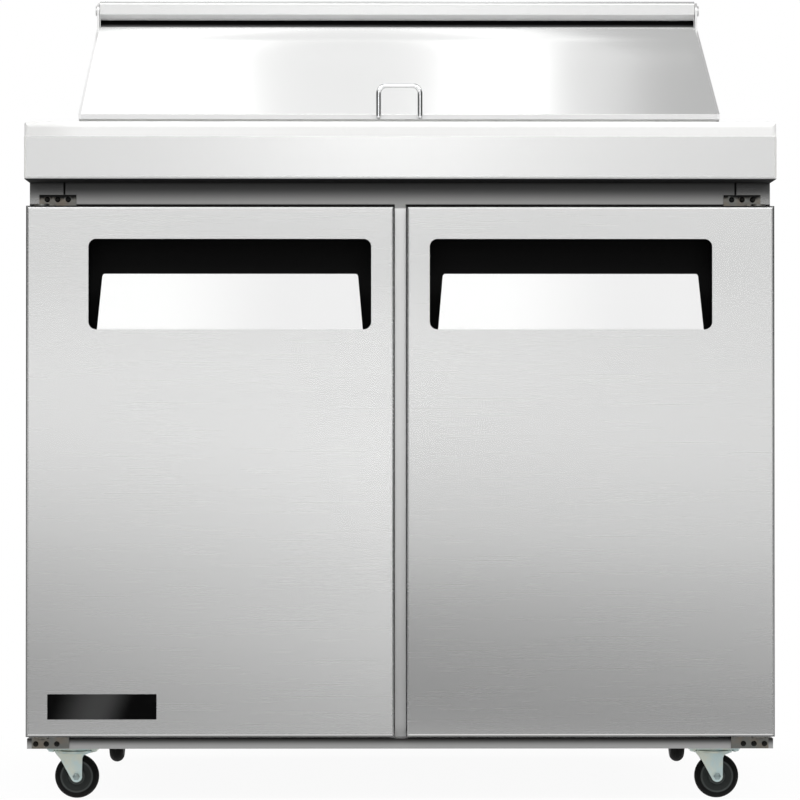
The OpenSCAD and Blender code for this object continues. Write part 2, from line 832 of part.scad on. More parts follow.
module evaporator_fan() {
  color([0.85, 0.85, 0.86]) translate([evap_fan_x, evap_y + 14, evap_fan_z])
    intersection() {
      fan(fan_r, 4 + pin_gap);
      bar_y(0, -7.6, 7.6, 0, fan_r);
    }
}

module condenser_fan() {
  color([0.7, 0.71, 0.72]) translate([unit_fan_x, unit_fan_y + 4, unit_fan_z])
    intersection() {
      fan(fan_r + 8, 5 + pin_gap);
      bar_y(0, -9, 9, 0, fan_r + 8);
    }
}

// Thermostat dial with its pointer rib and its shaft through the housing
module thermostat_dial() {
  color([0.12, 0.12, 0.13]) {
    bar_y(dial_x, evap_y - 14, evap_y - 0.4, dial_z, 17);
    block([dial_x - 2, evap_y - 17, dial_z - 14], [dial_x + 2, evap_y - 13, dial_z + 14]);
    bar_y(dial_x, evap_y - 1, evap_y + 12, dial_z, 4 - pin_gap);
  }
}

// Compressor: welded shell on a foot plate with three rubber feet
module compressor() {
  r = compressor_d / 2;
  color([0.1, 0.1, 0.11]) translate([compressor_x, compressor_y, floor_z]) {
    bar_z(0, 0, 14, 118, r);
    translate([0, 0, 14]) scale(1) rotate_extrude() intersection() {
      translate([0, 104 - r * 0.55]) circle(r * 1.14);
      translate([0, 100]) square([r, 120]);
    }
    bar_z(0, 0, 60, 66, r + 3);
    block([-r - foot_over, -r + 6, 12], [r + foot_over, r - 6, 16]);
    for (x = [-r + 4, r - 4]) {
      for (y = [-r + 18, r - 18]) {
        bar_z(x, y, 0, 13, 10);
      }
    }
    block([r - 6, -28, 50], [r + 22, 28, 110]);
    for (x = [-30, 30]) {
      bar_z(x, 0, 130, line_start, 6);
    }
  }
}

// Condenser coil behind the rear grille, on the floor of the machine space
condenser_x0 = unit_fan_x - condenser_half;
condenser_x1 = unit_fan_x + condenser_half;
condenser_y0 = shell_back - 78;
condenser_y1 = shell_back - 28;
module condenser_coil() {
  color([0.3, 0.3, 0.31]) {
    fin_pack(condenser_x0, condenser_x1, condenser_y0, condenser_y1, floor_z, floor_z + condenser_h, 30);
  }
}

// Tray that catches and evaporates the defrost water
tray_x = -half_w + tray_side;
tray_y0 = machine_y + 40;
tray_y1 = machine_y + machine_d - 30;
module condensate_tray() {
  color([0.72, 0.73, 0.74])
    difference() {
      block([tray_x, tray_y0, floor_z], [tray_x + tray_w, tray_y1, floor_z + tray_h]);
      block([tray_x + sheet_t, tray_y0 + sheet_t, floor_z + sheet_t],
            [tray_x + tray_w - sheet_t, tray_y1 - sheet_t, floor_z + tray_h + 1]);
    }
}

// Copper lines from the compressor to the condenser and up to the evaporator
line_r = 4;
line_start = 168;
module line(points) {
  for (i = [0:len(points) - 2]) {
    a = points[i];
    d = points[i + 1] - a;
    n = norm(d);
    translate(a) rotate([0, acos(d[2] / n), atan2(d[1], d[0])]) cylinder(h = n, r = line_r);
    if (i > 0) {
      translate(a) sphere(line_r);
    }
  }
}

module refrigerant_lines() {
  tube_y = (condenser_y0 + condenser_y1) / 2;
  tube_z = floor_z + condenser_h * 4 / 5;
  low_z = floor_z + condenser_h / 5;
  color([0.75, 0.42, 0.25]) {
    line([[compressor_x + 30, compressor_y, floor_z + line_start], [compressor_x + 30, compressor_y, floor_z + 200],
          [condenser_x0 - 30, compressor_y, floor_z + 200], [condenser_x0 - 30, tube_y, floor_z + 200],
          [condenser_x0 - 30, tube_y, tube_z], [condenser_x0 - 6, tube_y, tube_z]]);
    line([[condenser_x0 - 6, tube_y, low_z], [condenser_x0 - 40, tube_y, low_z],
          [condenser_x0 - 40, machine_y + 20, low_z], [condenser_x0 - 40, machine_y + 20, machine_z]]);
    line([[compressor_x - 30, compressor_y, floor_z + line_start], [compressor_x - 30, compressor_y, floor_z + 200],
          [compressor_x - 30, machine_y + 20, floor_z + 200], [compressor_x - 30, machine_y + 20, machine_z]]);
  }
}

// Rear grille with two columns of slots and the hole of the cord gland between them
module grille_slots_at(x0, x1) {
  step = (machine_z - sill_z - 40) / grille_slots;
  for (i = [0:grille_slots - 1]) {
    z = sill_z + 24 + i * step;
    block([x0, shell_back - 5, z], [x1, shell_back + 5, z + step * 0.5]);
  }
}

module rear_grille() {
  color([0.66, 0.67, 0.68])
    difference() {
      block([-grille_w / 2, shell_back, sill_z], [grille_w / 2, shell_back + grille_t, machine_z - 2]);
      grille_slots_at(-grille_w / 2 + 34, -16);
      grille_slots_at(16, grille_w / 2 - 34);
      bar_y(gland_x, shell_back - 5, shell_back + 5, gland_z, 9);
    }
}

// Gland in the grille where the power cord leaves
module cord_gland() {
  face = shell_back + grille_t;
  color([0.08, 0.08, 0.08])
    difference() {
      union() {
        bar_y(gland_x, face - 6, face + 4, gland_z, 9);
        bar_y(gland_x, face, face + 4, gland_z, 13);
      }
      bar_y(gland_x, face - 7, face + 8, gland_z, 4.5);
    }
}

// Places a piece of a caster: the front ones trail to the side, the rear ones forward
module at_caster(side, rear) {
  x = side * (caster_x - (rear ? rear_caster_in : 0)) + (rear ? 0 : front_caster_shift);
  translate([x, rear ? caster_y1 : caster_y0, 0]) rotate([0, 0, rear ? -90 : 0]) children();
}

// Caster plates with the upper race and the swivel pin
module caster_plate() {
  translate([0, 0, base_z - plate_t]) linear_extrude(plate_t) round_rect(-32, -25, 32, 25, 5);
  bar_z(0, 0, crown_z + crown_t + 0.3, base_z - plate_t + 0.5, 16);
  bar_z(0, 0, crown_z - 0.2, base_z - 1, king_r);
}

module caster_plates() {
  color([0.65, 0.68, 0.68])
    for (side = [-1, 1]) {
      at_caster(side, false) caster_plate();
      at_caster(side, true) caster_plate();
    }
}

// Fork of one caster about its swivel axis, the wheel trailing towards +X
module fork_leg(y0) {
  top = crown_z + crown_t;
  along_y(y0, y0 + 2.2) {
    translate([caster_trail, wheel_r]) circle(7);
    polygon([[-23, top], [23, top], [19, top - 2.8], [12.8, top - 5.2], [caster_trail + 7.3, top - 9],
             [caster_trail + 6.9, wheel_r + 1], [caster_trail + 6.5, wheel_r - 2.6],
             [caster_trail - 6, wheel_r - 3.6], [-16.4, top - 9], [-21.2, top - 3.5]]);
  }
}

module fork() {
  leg = wheel_w / 2 + 1.2;
  difference() {
    union() {
      fork_leg(-leg - 2.2);
      fork_leg(leg);
      bar_z(0, 0, crown_z, crown_z + crown_t, 23.5);
      bar_y(caster_trail, -leg - 3.6, leg + 3.6, wheel_r, axle_r);
      bar_y(caster_trail, -leg - 3.8, -leg - 2, wheel_r, axle_r + 2);
      bar_y(caster_trail, leg + 2, leg + 3.8, wheel_r, axle_r + 2);
    }
    bar_z(0, 0, crown_z - 5, crown_z + 10, king_r + pin_gap);
  }
}

// Wheel of one caster: tread, side groove and hub, with a running bore
module wheel() {
  h = wheel_w / 2;
  tyre = h - 0.4;
  translate([caster_trail, 0, wheel_r]) rotate([90, 0, 0]) rotate_extrude() {
    polygon([[axle_r + pin_gap, -h], [axle_r + 6, -h], [axle_r + 6.8, -h + 1.6],
             [wheel_r - tyre, -h + 1.6], [wheel_r - tyre, h - 1.6],
             [axle_r + 6.8, h - 1.6], [axle_r + 6, h], [axle_r + pin_gap, h]]);
    translate([wheel_r - tyre, 0]) circle(tyre);
  }
}

module front_left_fork() {
  color([0.65, 0.69, 0.67]) at_caster(-1, false) fork();
}

module front_right_fork() {
  color([0.65, 0.69, 0.67]) at_caster(1, false) fork();
}

module rear_left_fork() {
  color([0.65, 0.69, 0.67]) at_caster(-1, true) fork();
}

module rear_right_fork() {
  color([0.65, 0.69, 0.67]) at_caster(1, true) fork();
}

module front_left_wheel() {
  color([0.08, 0.08, 0.09]) at_caster(-1, false) wheel();
}

module front_right_wheel() {
  color([0.08, 0.08, 0.09]) at_caster(1, false) wheel();
}

module rear_left_wheel() {
  color([0.08, 0.08, 0.09]) at_caster(-1, true) wheel();
}

module rear_right_wheel() {
  color([0.08, 0.08, 0.09]) at_caster(1, true) wheel();
}

// Solid outline of the left door, shrunk by the given amount
module door_block(g) {
  r = door_r - min(g, door_r - 1);
  intersection() {
    along_x(door_x0 + g, door_x1 - g)
      front_round(door_front + g, door_z0 + g, door_back, door_z1 - g, r);
    translate([0, 0, door_z0 + g]) linear_extrude(door_h - 2 * g)
      intersection() {
        round_rect(door_x0 + g, door_front + g, door_x1 - g, door_back + 40, r);
        translate([door_x0, door_front]) square([door_x1 - door_x0, door_t]);
      }
  }
}

// Outline of the handle pocket, grown by the given amount
module pocket(g, y0, y1) {
  along_y(y0, y1) round_rect(pocket_x0 - g, pocket_z0 - g, pocket_x1 + g, pocket_z1 + g, pocket_r + g);
}

module bush_space(r) {
  bar_z(pivot_x, pivot_y, door_z1 - bush_h, door_z1 + 1, r);
  bar_z(pivot_x, pivot_y, door_z0 - 1, door_z0 + bush_h, r);
}

// Door skin: a folded steel pan with the opening of the handle pocket
module door_skin() {
  difference() {
    door_block(0);
    door_block(sheet_t);
    block([door_x0 + sheet_t, door_back - door_liner_t, door_z0 + sheet_t],
          [door_x1 - sheet_t, door_back + 1, door_z1 - sheet_t]);
    pocket(0, door_front - 1, door_front + 10);
    bush_space(bush_r);
  }
}

// Foam core of a door, hollowed for the tub and the bushes
module door_foam() {
  difference() {
    intersection() {
      door_block(sheet_t);
      block([door_x0, door_front, door_z0], [door_x1, door_back - door_liner_t, door_z1]);
    }
    pocket(tub_t, door_front, pocket_y1 + tub_t);
    bush_space(bush_r);
  }
}

// Inner panel of a door with a raised middle field
module door_liner() {
  block([door_x0 + sheet_t, door_back - door_liner_t, door_z0 + sheet_t],
        [door_x1 - sheet_t, door_back, door_z1 - sheet_t]);
  inset = gasket_inset + gasket_w + 10;
  along_y(door_back - eps, door_back + 6)
    round_rect(door_x0 + inset, door_z0 + inset, door_x1 - inset, door_z1 - inset, 12);
}

// Gasket: neck on the door and wider sealing face towards the cabinet
module gasket_frame(inset, w, y0, y1) {
  difference() {
    block([door_x0 + inset, y0, door_z0 + inset], [door_x1 - inset, y1, door_z1 - inset]);
    block([door_x0 + inset + w, y0 - 1, door_z0 + inset + w],
          [door_x1 - inset - w, y1 + 1, door_z1 - inset - w]);
  }
}

module door_gasket() {
  gasket_frame(gasket_inset, gasket_w, door_back + gasket_gap - 4.5, door_back + gasket_gap - 0.3);
  gasket_frame(gasket_inset + 3, gasket_w - 6, door_back, door_back + gasket_gap - 4);
}

// Tub of the handle pocket
module handle_tub() {
  difference() {
    pocket(tub_t, door_front + sheet_t, pocket_y1 + tub_t);
    pocket(0, door_front, pocket_y1);
  }
}

// Pull lip: a plate that leans into the pocket, with a foot on the tub's floor
module pull_lip() {
  foot = lip_foot / 2;
  top = foot - lip_taper / 2;
  lean = atan2(lip_lean, lip_h);
  tall = lip_h / cos(lean);
  translate([pocket_mid, door_front + sheet_t + 0.2, pocket_z0]) {
    difference() {
      rotate([-lean, 0, 0]) along_y(0, lip_t) {
        polygon([[-foot, 0], [foot, 0], [top + 3 * (foot - top) / tall, tall - 3], [top - 3, tall],
                 [-top + 3, tall], [-top - 3 * (foot - top) / tall, tall - 3]]);
        for (s = [-1, 1]) {
          translate([s * (top - 3), tall - 3]) circle(3);
        }
      }
      block([-foot - 1, -4, -4], [foot + 1, 4, 0]);
    }
    block([-foot, 0, 0], [foot, 12, lip_t]);
  }
}

// Bushes that carry the door on its hinge pins
module door_bushes() {
  difference() {
    union() {
      bar_z(pivot_x, pivot_y, door_z1 - bush_h, door_z1, bush_r);
      bar_z(pivot_x, pivot_y, door_z0, door_z0 + bush_h, bush_r);
    }
    bar_z(pivot_x, pivot_y, door_z1 - bush_h + 1.5, door_z1 + 1, pin_r + pin_gap);
    bar_z(pivot_x, pivot_y, door_z0 - 1, door_z0 + bush_h - 1.5, pin_r + pin_gap);
  }
}

module left_door_skin() {
  color([0.78, 0.79, 0.8]) door_skin();
}

module right_door_skin() {
  color([0.78, 0.79, 0.8]) mirror([1, 0, 0]) door_skin();
}

module left_door_foam() {
  color([0.9, 0.85, 0.6]) door_foam();
}

module right_door_foam() {
  color([0.9, 0.85, 0.6]) mirror([1, 0, 0]) door_foam();
}

module left_door_liner() {
  color([0.85, 0.86, 0.87]) door_liner();
}

module right_door_liner() {
  color([0.85, 0.86, 0.87]) mirror([1, 0, 0]) door_liner();
}

module left_door_gasket() {
  color([0.2, 0.2, 0.2]) door_gasket();
}

module right_door_gasket() {
  color([0.2, 0.2, 0.2]) mirror([1, 0, 0]) door_gasket();
}

module left_handle_tub() {
  color([0.05, 0.05, 0.05]) handle_tub();
}

module right_handle_tub() {
  color([0.05, 0.05, 0.05]) mirror([1, 0, 0]) handle_tub();
}

module left_pull_lip() {
  color([0.88, 0.89, 0.9]) pull_lip();
}

module right_pull_lip() {
  color([0.88, 0.89, 0.9]) mirror([1, 0, 0]) pull_lip();
}

module left_door_bushes() {
  color([0.9, 0.9, 0.88]) door_bushes();
}

module right_door_bushes() {
  color([0.9, 0.9, 0.88]) mirror([1, 0, 0]) door_bushes();
}

// Plain black plate low on the left door
module front_plate() {
  color([0.05, 0.05, 0.05])
    along_y(door_front - 1.5, door_front)
      round_rect(door_x0 + 27, door_z0 + 22, door_x0 + 161, door_z0 + 53, 1);
}

// Places a piece in the lid's own frame: X along the slope, Y out of its face
module on_slope() {
  translate([lid_y, lip_z1]) rotate(lid_slope) children();
}

// Lid skin: sloping sheet with a front lip and a return at its upper edge
module lid_skin() {
  color([0.82, 0.83, 0.84])
    along_x(-lid_w / 2 + end_cap_t, lid_w / 2 - end_cap_t) {
      on_slope() translate([0, -lid_skin_t]) square([lid_len, lid_skin_t]);
      on_slope() translate([lid_len - lid_skin_t, -lid_skin_t - lid_panel_t])
        square([lid_skin_t, lid_skin_t + lid_panel_t]);
      translate([lid_y, deck_z + lip_low]) square([lid_skin_t, lip_face - 0.2]);
    }
}

// Insulated panel under the lid skin
module lid_panel() {
  color([0.86, 0.87, 0.88])
    along_x(-lid_w / 2 + end_cap_t, lid_w / 2 - end_cap_t)
      on_slope() translate([4, -lid_skin_t - lid_panel_t])
        square([lid_len - 4 - lid_skin_t, lid_panel_t]);
}

// End caps of the lid: side walls with the ears that turn on the hinge pins
module end_cap() {
  wall_y = hood_y - 4;
  top_y = lid_y + lid_len * cos(lid_slope);
  top_z = lip_z1 + lid_len * sin(lid_slope);
  difference() {
    along_x(lid_w / 2 - end_cap_t, lid_w / 2) {
      polygon([[lid_y, deck_z + lip_low], [lid_y, lip_z1], [top_y, top_z],
               [axis_y, axis_z - 4], [wall_y, axis_z - 8], [wall_y, deck_z + 4],
               [lid_y + 30, deck_z + 4], [lid_y + 12, deck_z + lip_low]]);
      translate([axis_y, axis_z]) circle(11);
      translate([axis_y - 11, axis_z - lid_axis_drop - 14]) square([15, lid_axis_drop + 14]);
    }
    bar_x(0, lid_w, axis_y, axis_z, pin_r + pin_gap);
  }
}

module lid_end_caps() {
  color([0.8, 0.81, 0.82]) both_sides() end_cap();
}

// Lid handle: a bent rod whose feet stand on the front lip
module lid_handle() {
  r = bail_rod / 2;
  x = bail_w / 2 - r;
  y = lid_y - r - 1.4;
  z0 = deck_z + lip_low + r + 0.1;
  z1 = deck_z + lip_low + bail_h - r;
  color([0.85, 0.86, 0.87]) {
    both_sides() {
      bar_z(-x, y, z0, z1 - bail_r, r);
      translate([-x + bail_r, y, z1 - bail_r]) rotate([90, 0, 0]) rotate([0, 0, 90])
        rotate_extrude(angle = 90) translate([bail_r, 0]) circle(r);
      translate([-x, y, z0]) sphere(r);
      bar_y(-x, y, lid_y, z0, r);
    }
    bar_x(-x + bail_r, x - bail_r, y, z1, r);
  }
}

// Upright outline of the board, round at its upper edges
module board_outline(a, b, r) {
  translate([a, deck_z]) square([b - a, board_t - r]);
  translate([a + r, deck_z]) square([b - a - 2 * r, board_t]);
  for (u = [a + r, b - r]) {
    translate([u, deck_z + board_t - r]) circle(r);
  }
}

// Cutting board with rounded upper edges and two blind holes for its pins
module cutting_board() {
  color([0.96, 0.96, 0.94])
    difference() {
      intersection() {
        along_x(-worktop_w / 2, worktop_w / 2) board_outline(board_y0, board_y1, board_r);
        along_y(board_y0, board_y1) board_outline(-worktop_w / 2, worktop_w / 2, board_end_r);
        translate([0, 0, deck_z]) linear_extrude(board_t)
          round_rect(-worktop_w / 2, board_y0, worktop_w / 2, board_y1, board_end_r + 1);
      }
      both_sides()
        bar_z(-board_pin_x, board_pin_y, deck_z - 1, deck_z + board_t * 0.4 + 1, board_pin_r + 0.3);
    }
}

base_pan();
left_side_panel();
right_side_panel();
back_panel();
face_frame();
cabinet_liner();
foam_insulation();
worktop();
pan_rail();
pan_dividers();
front_food_pans();
rear_food_pans();
rear_hood();
hinge_brackets();
hinge_pins();
fasteners();
left_shelf();
right_shelf();
shelf_supports();
evaporator_coil();
evaporator_housing();
fan_motors();
compressor();
condenser_coil();
condensate_tray();
refrigerant_lines();
rear_grille();
cord_gland();
caster_plates();
left_door_skin();
left_door_foam();
left_door_liner();
left_door_gasket();
left_handle_tub();
left_pull_lip();
left_door_bushes();
front_plate();
right_door_skin();
right_door_foam();
right_door_liner();
right_door_gasket();
right_handle_tub();
right_pull_lip();
right_door_bushes();
lid_skin();
lid_panel();
lid_end_caps();
lid_handle();
cutting_board();
evaporator_fan();
condenser_fan();
thermostat_dial();
front_left_fork();
front_right_fork();
rear_left_fork();
rear_right_fork();
front_left_wheel();
front_right_wheel();
rear_left_wheel();
rear_right_wheel();
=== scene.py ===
import math

import bmesh
import bpy
from mathutils import Matrix, Vector


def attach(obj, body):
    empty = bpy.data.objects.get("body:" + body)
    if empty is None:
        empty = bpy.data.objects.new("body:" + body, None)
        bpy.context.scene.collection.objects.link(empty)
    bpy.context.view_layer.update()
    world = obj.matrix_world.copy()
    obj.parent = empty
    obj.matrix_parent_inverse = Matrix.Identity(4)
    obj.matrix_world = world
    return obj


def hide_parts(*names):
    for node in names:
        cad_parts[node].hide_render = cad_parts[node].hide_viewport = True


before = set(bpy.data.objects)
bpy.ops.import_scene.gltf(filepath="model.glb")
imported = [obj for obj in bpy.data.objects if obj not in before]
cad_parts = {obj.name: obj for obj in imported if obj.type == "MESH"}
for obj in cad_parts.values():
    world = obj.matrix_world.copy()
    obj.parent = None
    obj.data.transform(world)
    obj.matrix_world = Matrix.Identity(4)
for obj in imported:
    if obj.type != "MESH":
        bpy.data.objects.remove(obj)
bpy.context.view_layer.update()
scene = bpy.context.scene
scene.view_settings.view_transform = "Standard"

# Camera: a long lens at a little under half the table's height, square to the doors,
# a few centimetres left of the middle and tipped up by about half a degree.
lens = bpy.data.cameras.new("front_view")
lens.sensor_width = 36.0
lens.lens = 179.2
lens.clip_end = 80.0
viewer = bpy.data.objects.new("front_view", lens)
scene.collection.objects.link(viewer)
viewer.location = (-0.038, -5.266, 0.4454)
aim = Vector((-0.0006, -0.366, 0.4946))
viewer.rotation_euler = (aim - viewer.location).to_track_quat("-Z", "Y").to_euler()
scene.camera = viewer


# Casters: zinc-plated pressed forks that turn under flat plates, each with a wheel of
# black rubber moulded on a dark core. The front wheels stand side-on, the rear ones
# point forward, and an axle with a nut holds each wheel in its fork.
class Socket:
    """A node socket that takes part in plain arithmetic."""

    def __init__(self, tree, socket=None):
        self.tree = tree
        self.socket = socket

    def node(self, kind, settings=None, sockets=None, output=0):
        """New node in the same tree, with its settings and inputs filled in."""
        made = self.tree.nodes.new(kind)
        for name, setting in (settings or {}).items():
            if name == "stops":
                for at, _ in setting[2:]:
                    made.color_ramp.elements.new(at)
                for stop, (at, level) in zip(made.color_ramp.elements, setting):
                    stop.position = at
                    stop.color = rgba(grey(level))
            else:
                setattr(made, name, setting)
        for name, value in (sockets or {}).items():
            for part in value if isinstance(value, list) else [value]:
                if isinstance(part, Socket):
                    self.tree.links.new(part.socket, made.inputs[name])
                else:
                    made.inputs[name].default_value = part
        return Socket(self.tree, made.outputs[output] if made.outputs else None)

    def maths(self, operation, a, b):
        return self.node("ShaderNodeMath", {"operation": operation}, {0: a, 1: b})

    def vector_maths(self, operation, sockets, output=0):
        return self.node("ShaderNodeVectorMath", {"operation": operation}, sockets, output)

    def __add__(self, other):
        if isinstance(other, tuple):
            return self.vector_maths("ADD", {0: self, 1: other})
        return self.maths("ADD", self, other)

    def __sub__(self, other):
        return self.maths("SUBTRACT", self, other)

    def __rsub__(self, other):
        return self.maths("SUBTRACT", other, self)

    def __mul__(self, other):
        if isinstance(other, tuple):
            return self.vector_maths("MULTIPLY", {0: self, 1: other})
        return self.maths("MULTIPLY", self, other)

    def __truediv__(self, other):
        return self.maths("DIVIDE", self, other)

    def __rtruediv__(self, other):
        return self.maths("DIVIDE", other, self)

    def __abs__(self):
        return self.maths("ABSOLUTE", self, 0.0)

    __radd__ = __add__
    __rmul__ = __mul__

    def at_least(self, other):
        return self.maths("MAXIMUM", self, other)

    def noise(self, stretch, detail=2.0, roughness=0.5):
        """Noise from 0 to 1, with its own number of cells per metre along each axis."""
        return self.node("ShaderNodeTexNoise", {}, {
            "Vector": self * stretch, "Scale": 1.0, "Detail": detail, "Roughness": roughness})

    def step(self, low, high):
        """Rises smoothly from 0 at low to 1 at high."""
        return self.node("ShaderNodeMapRange", {"interpolation_type": "SMOOTHSTEP"},
                         {"Value": self, "From Min": low, "From Max": high})

    def blend(self, first, second):
        """The first colour where this is 0 and the second where it is 1."""
        return self.node("ShaderNodeMix", {"data_type": "RGBA"},
                         {0: self, 6: rgba(first), 7: rgba(second)}, 2)


def rgba(colour):
    return colour if isinstance(colour, Socket) else (*colour, 1.0)


def grey(level):
    return (level, level, level)


def even(cells):
    """The same number of noise cells per metre along every axis."""
    return (cells, cells, cells)


def finish(name, constants):
    """New material with its constant sockets set, and the place on the piece in metres."""
    material = bpy.data.materials.new(name)
    material.use_nodes = True
    shader = material.node_tree.nodes["Principled BSDF"]
    for socket, value in constants.items():
        shader.inputs[socket].default_value = value
    spot = Socket(material.node_tree).node("ShaderNodeTexCoord", output="Object")
    return material, spot


def feed(material, socket, shade):
    tree = material.node_tree
    tree.links.new(shade.socket, tree.nodes["Principled BSDF"].inputs[socket])


def emboss(material, height, distance):
    """Bump whose height is given in units of the distance, in metres."""
    feed(material, "Normal", height.node("ShaderNodeBump", {}, {
        "Height": height, "Distance": distance, "Strength": 1.0}))


def dress(material, *names):
    for name in names:
        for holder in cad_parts[name].material_slots:
            holder.material = material


def axis_part(spot, axis):
    return spot.node("ShaderNodeSeparateXYZ", {}, {0: spot}, "XYZ".index(axis))


def radius_about(spot, centre, keep):
    """Distance from a line through the centre; keep is 1 for the axes across the line."""
    shifted = spot + tuple(-c for c in centre)
    return spot.vector_maths("LENGTH", {0: shifted * keep}, 1)


def wheel_rubber(name, centre, keep):
    """Black tread round a grey core, with a darker band of painted shade where its side has a
    groove.
    """
    material, spot = finish(name, {"Specular IOR Level": 0.1})
    radius = radius_about(spot, centre, keep)
    tread = radius.step(0.0198, 0.0208)
    # Painted shade: the groove is only a darker band in the colour.
    groove = radius.step(0.0098, 0.0106) * (1 - radius.step(0.0176, 0.0186))
    mottle = spot.noise(even(160.0), 4.0, 0.6)
    core = groove.blend((0.056, 0.062, 0.060), (0.024, 0.027, 0.026))
    rubber = mottle.blend(grey(0.003), grey(0.007))
    feed(material, "Base Color", tread.blend(core, rubber))
    feed(material, "Roughness", 0.42 + tread * 0.2 + mottle * 0.12)
    emboss(material, mottle + spot.noise(even(900.0)) * 0.3, 0.00012)
    return material


def zinc_plate(name, colour):
    """Zinc plating: clouded, a little iridescent and duller in patches."""
    material, spot = finish(name, {"Metallic": 1.0})
    cloud = spot.noise(even(55.0), 3.0, 0.6)
    fleck = spot.noise(even(420.0), 2.0)
    cool = tuple(c * t for c, t in zip(colour, (0.90, 1.0, 1.03)))
    warm = tuple(c * t for c, t in zip(colour, (1.06, 1.02, 0.93)))
    feed(material, "Base Color", cloud.step(0.35, 0.65).blend(cool, warm))
    feed(material, "Roughness", 0.27 + cloud * 0.16 + fleck * 0.06)
    emboss(material, cloud + fleck * 0.3, 0.00006)
    return material


AXLE_Z = 0.0275
casters = (
    ("front_left", (-0.402, -0.301, AXLE_Z), (0, -1, 0)),
    ("front_right", (0.394, -0.301, AXLE_Z), (0, -1, 0)),
    ("rear_left", (-0.3875, 0.259, AXLE_Z), (-1, 0, 0)),
    ("rear_right", (0.3875, 0.259, AXLE_Z), (-1, 0, 0)),
)
fork_zinc = zinc_plate("fork_zinc", (0.60, 0.66, 0.64))
for corner, centre, axle in casters:
    across = tuple(1.0 - abs(part) for part in axle)
    dress(wheel_rubber(corner + "_wheel_rubber", centre, across), corner + "_wheel")
    dress(fork_zinc, corner + "_fork")
dress(fork_zinc, "caster_plates")


# Base: a folded stainless pan, upside down, whose front edge is the sill below the
# doors. Two channel runners are spot-welded inside it and carry the casters.
def brushed_steel(name, tone, roughness, grain=(5.0, 650.0, 650.0), bow=None):
    """Stainless sheet with fine lines along one axis, faint bands and, with bow, a curve."""
    material, spot = finish(name, {"Metallic": 1.0})
    lines = spot.noise(grain, 3.0, 0.65)
    bands = spot.noise(tuple(g / 60.0 + 0.3 for g in grain), 1.0)
    level = 0.97 + lines * 0.022 + bands * 0.03
    feed(material, "Base Color", spot.vector_maths("SCALE", {
        0: (tone, tone * 1.003, tone * 0.998), "Scale": level}))
    feed(material, "Roughness", roughness - 0.015 + lines * 0.03)
    relief = lines * 0.0000012
    if bow:
        relief = relief + bow(spot)
    emboss(material, relief, 1.0)
    return material


def sagged(share, flat):
    """Height of a slow wave below the middle of a sheet, level again at flat below it."""
    middle = 0.5

    def height(spot):
        below = (middle - axis_part(spot, "Z")).at_least(0.0)
        return below * below * (flat / 2 - below * (1 / 3)) * share
    return height


def colour_of(material):
    tree = material.node_tree
    return Socket(tree, tree.nodes["Principled BSDF"].inputs["Base Color"].links[0].from_socket)


def over(material, share, colour):
    """Puts a second colour over a finished one where the share is 1."""
    feed(material, "Base Color", share.blend(colour_of(material), colour))


def spot_of(material):
    tree = material.node_tree
    return Socket(tree, tree.nodes["Texture Coordinate"].outputs["Object"])


sill_steel = brushed_steel("sill_steel", 0.50, 0.40)
# Painted shadow: the top of the sill, under the doors' bottom edge, is near-black.
shadow = axis_part(spot_of(sill_steel), "Z").step(0.0665, 0.0762)
over(sill_steel, shadow, (0.035, 0.034, 0.033))
dress(sill_steel, "base_pan")


# Outer shell: two stainless side sheets with front returns beside the doors, a
# galvanised back, and a stainless face with header, post and lower strip. The
# seams where the returns meet the header stay open by a hair.
def shaded_header(material):
    """Painted shade on the front faces above the doors, darkest under the worktop, with a
    near-black painted shadow line just above the doors.
    """
    seam_x = 0.418
    spot = spot_of(material)
    rise = axis_part(spot, "Z")
    side = abs(axis_part(spot, "X"))
    front = 1 - axis_part(spot, "Y").step(-0.3069, -0.3066)
    # Painted shade: dark grey, darkening to near-black under the worktop.
    header_shade = rise.step(0.736, 0.759).blend((0.36, 0.36, 0.355), grey(0.072))
    header_shade = rise.step(0.7622, 0.7665).blend(header_shade, grey(0.035))
    # Painted shadow: a near-black line on the header just above the doors.
    gap_shadow_line = (1 - rise.step(0.7382, 0.7398)) * side.step(0.0060, 0.0075)
    over(material, rise.step(0.733, 0.735) * front, gap_shadow_line.blend(header_shade, grey(0.006)))
    seam = 1 - abs(side - seam_x).step(0.0008, 0.0018)
    over(material, seam * rise.step(0.748, 0.752) * front, grey(0.004))
    return material


panel_steel = shaded_header(brushed_steel("panel_steel", 0.78, 0.27))
dress(panel_steel, "left_side_panel", "right_side_panel")
face_steel = shaded_header(brushed_steel("face_steel", 0.93, 0.33, bow=sagged(0.25, 0.225)))
dress(face_steel, "face_frame")


def galvanised(name, tone):
    """Hot-dipped sheet with its spangle of zinc crystals."""
    material, spot = finish(name, {"Metallic": 1.0})
    crystal = spot.node("ShaderNodeTexVoronoi", {"feature": "F1"},
                        {"Vector": spot, "Scale": 95.0}, 1)
    shade = spot.node("ShaderNodeSeparateColor", {}, {0: crystal}, 0)
    dull = spot.noise(even(30.0), 3.0)
    feed(material, "Base Color", shade.blend((tone * 0.82, tone * 0.84, tone * 0.86),
                                             (tone, tone * 1.01, tone * 1.02)))
    feed(material, "Roughness", 0.34 + shade * 0.12 + dull * 0.08)
    emboss(material, shade, 0.00002)
    return material


zinc_sheet = galvanised("zinc_sheet", 0.62)
dress(zinc_sheet, "back_panel")


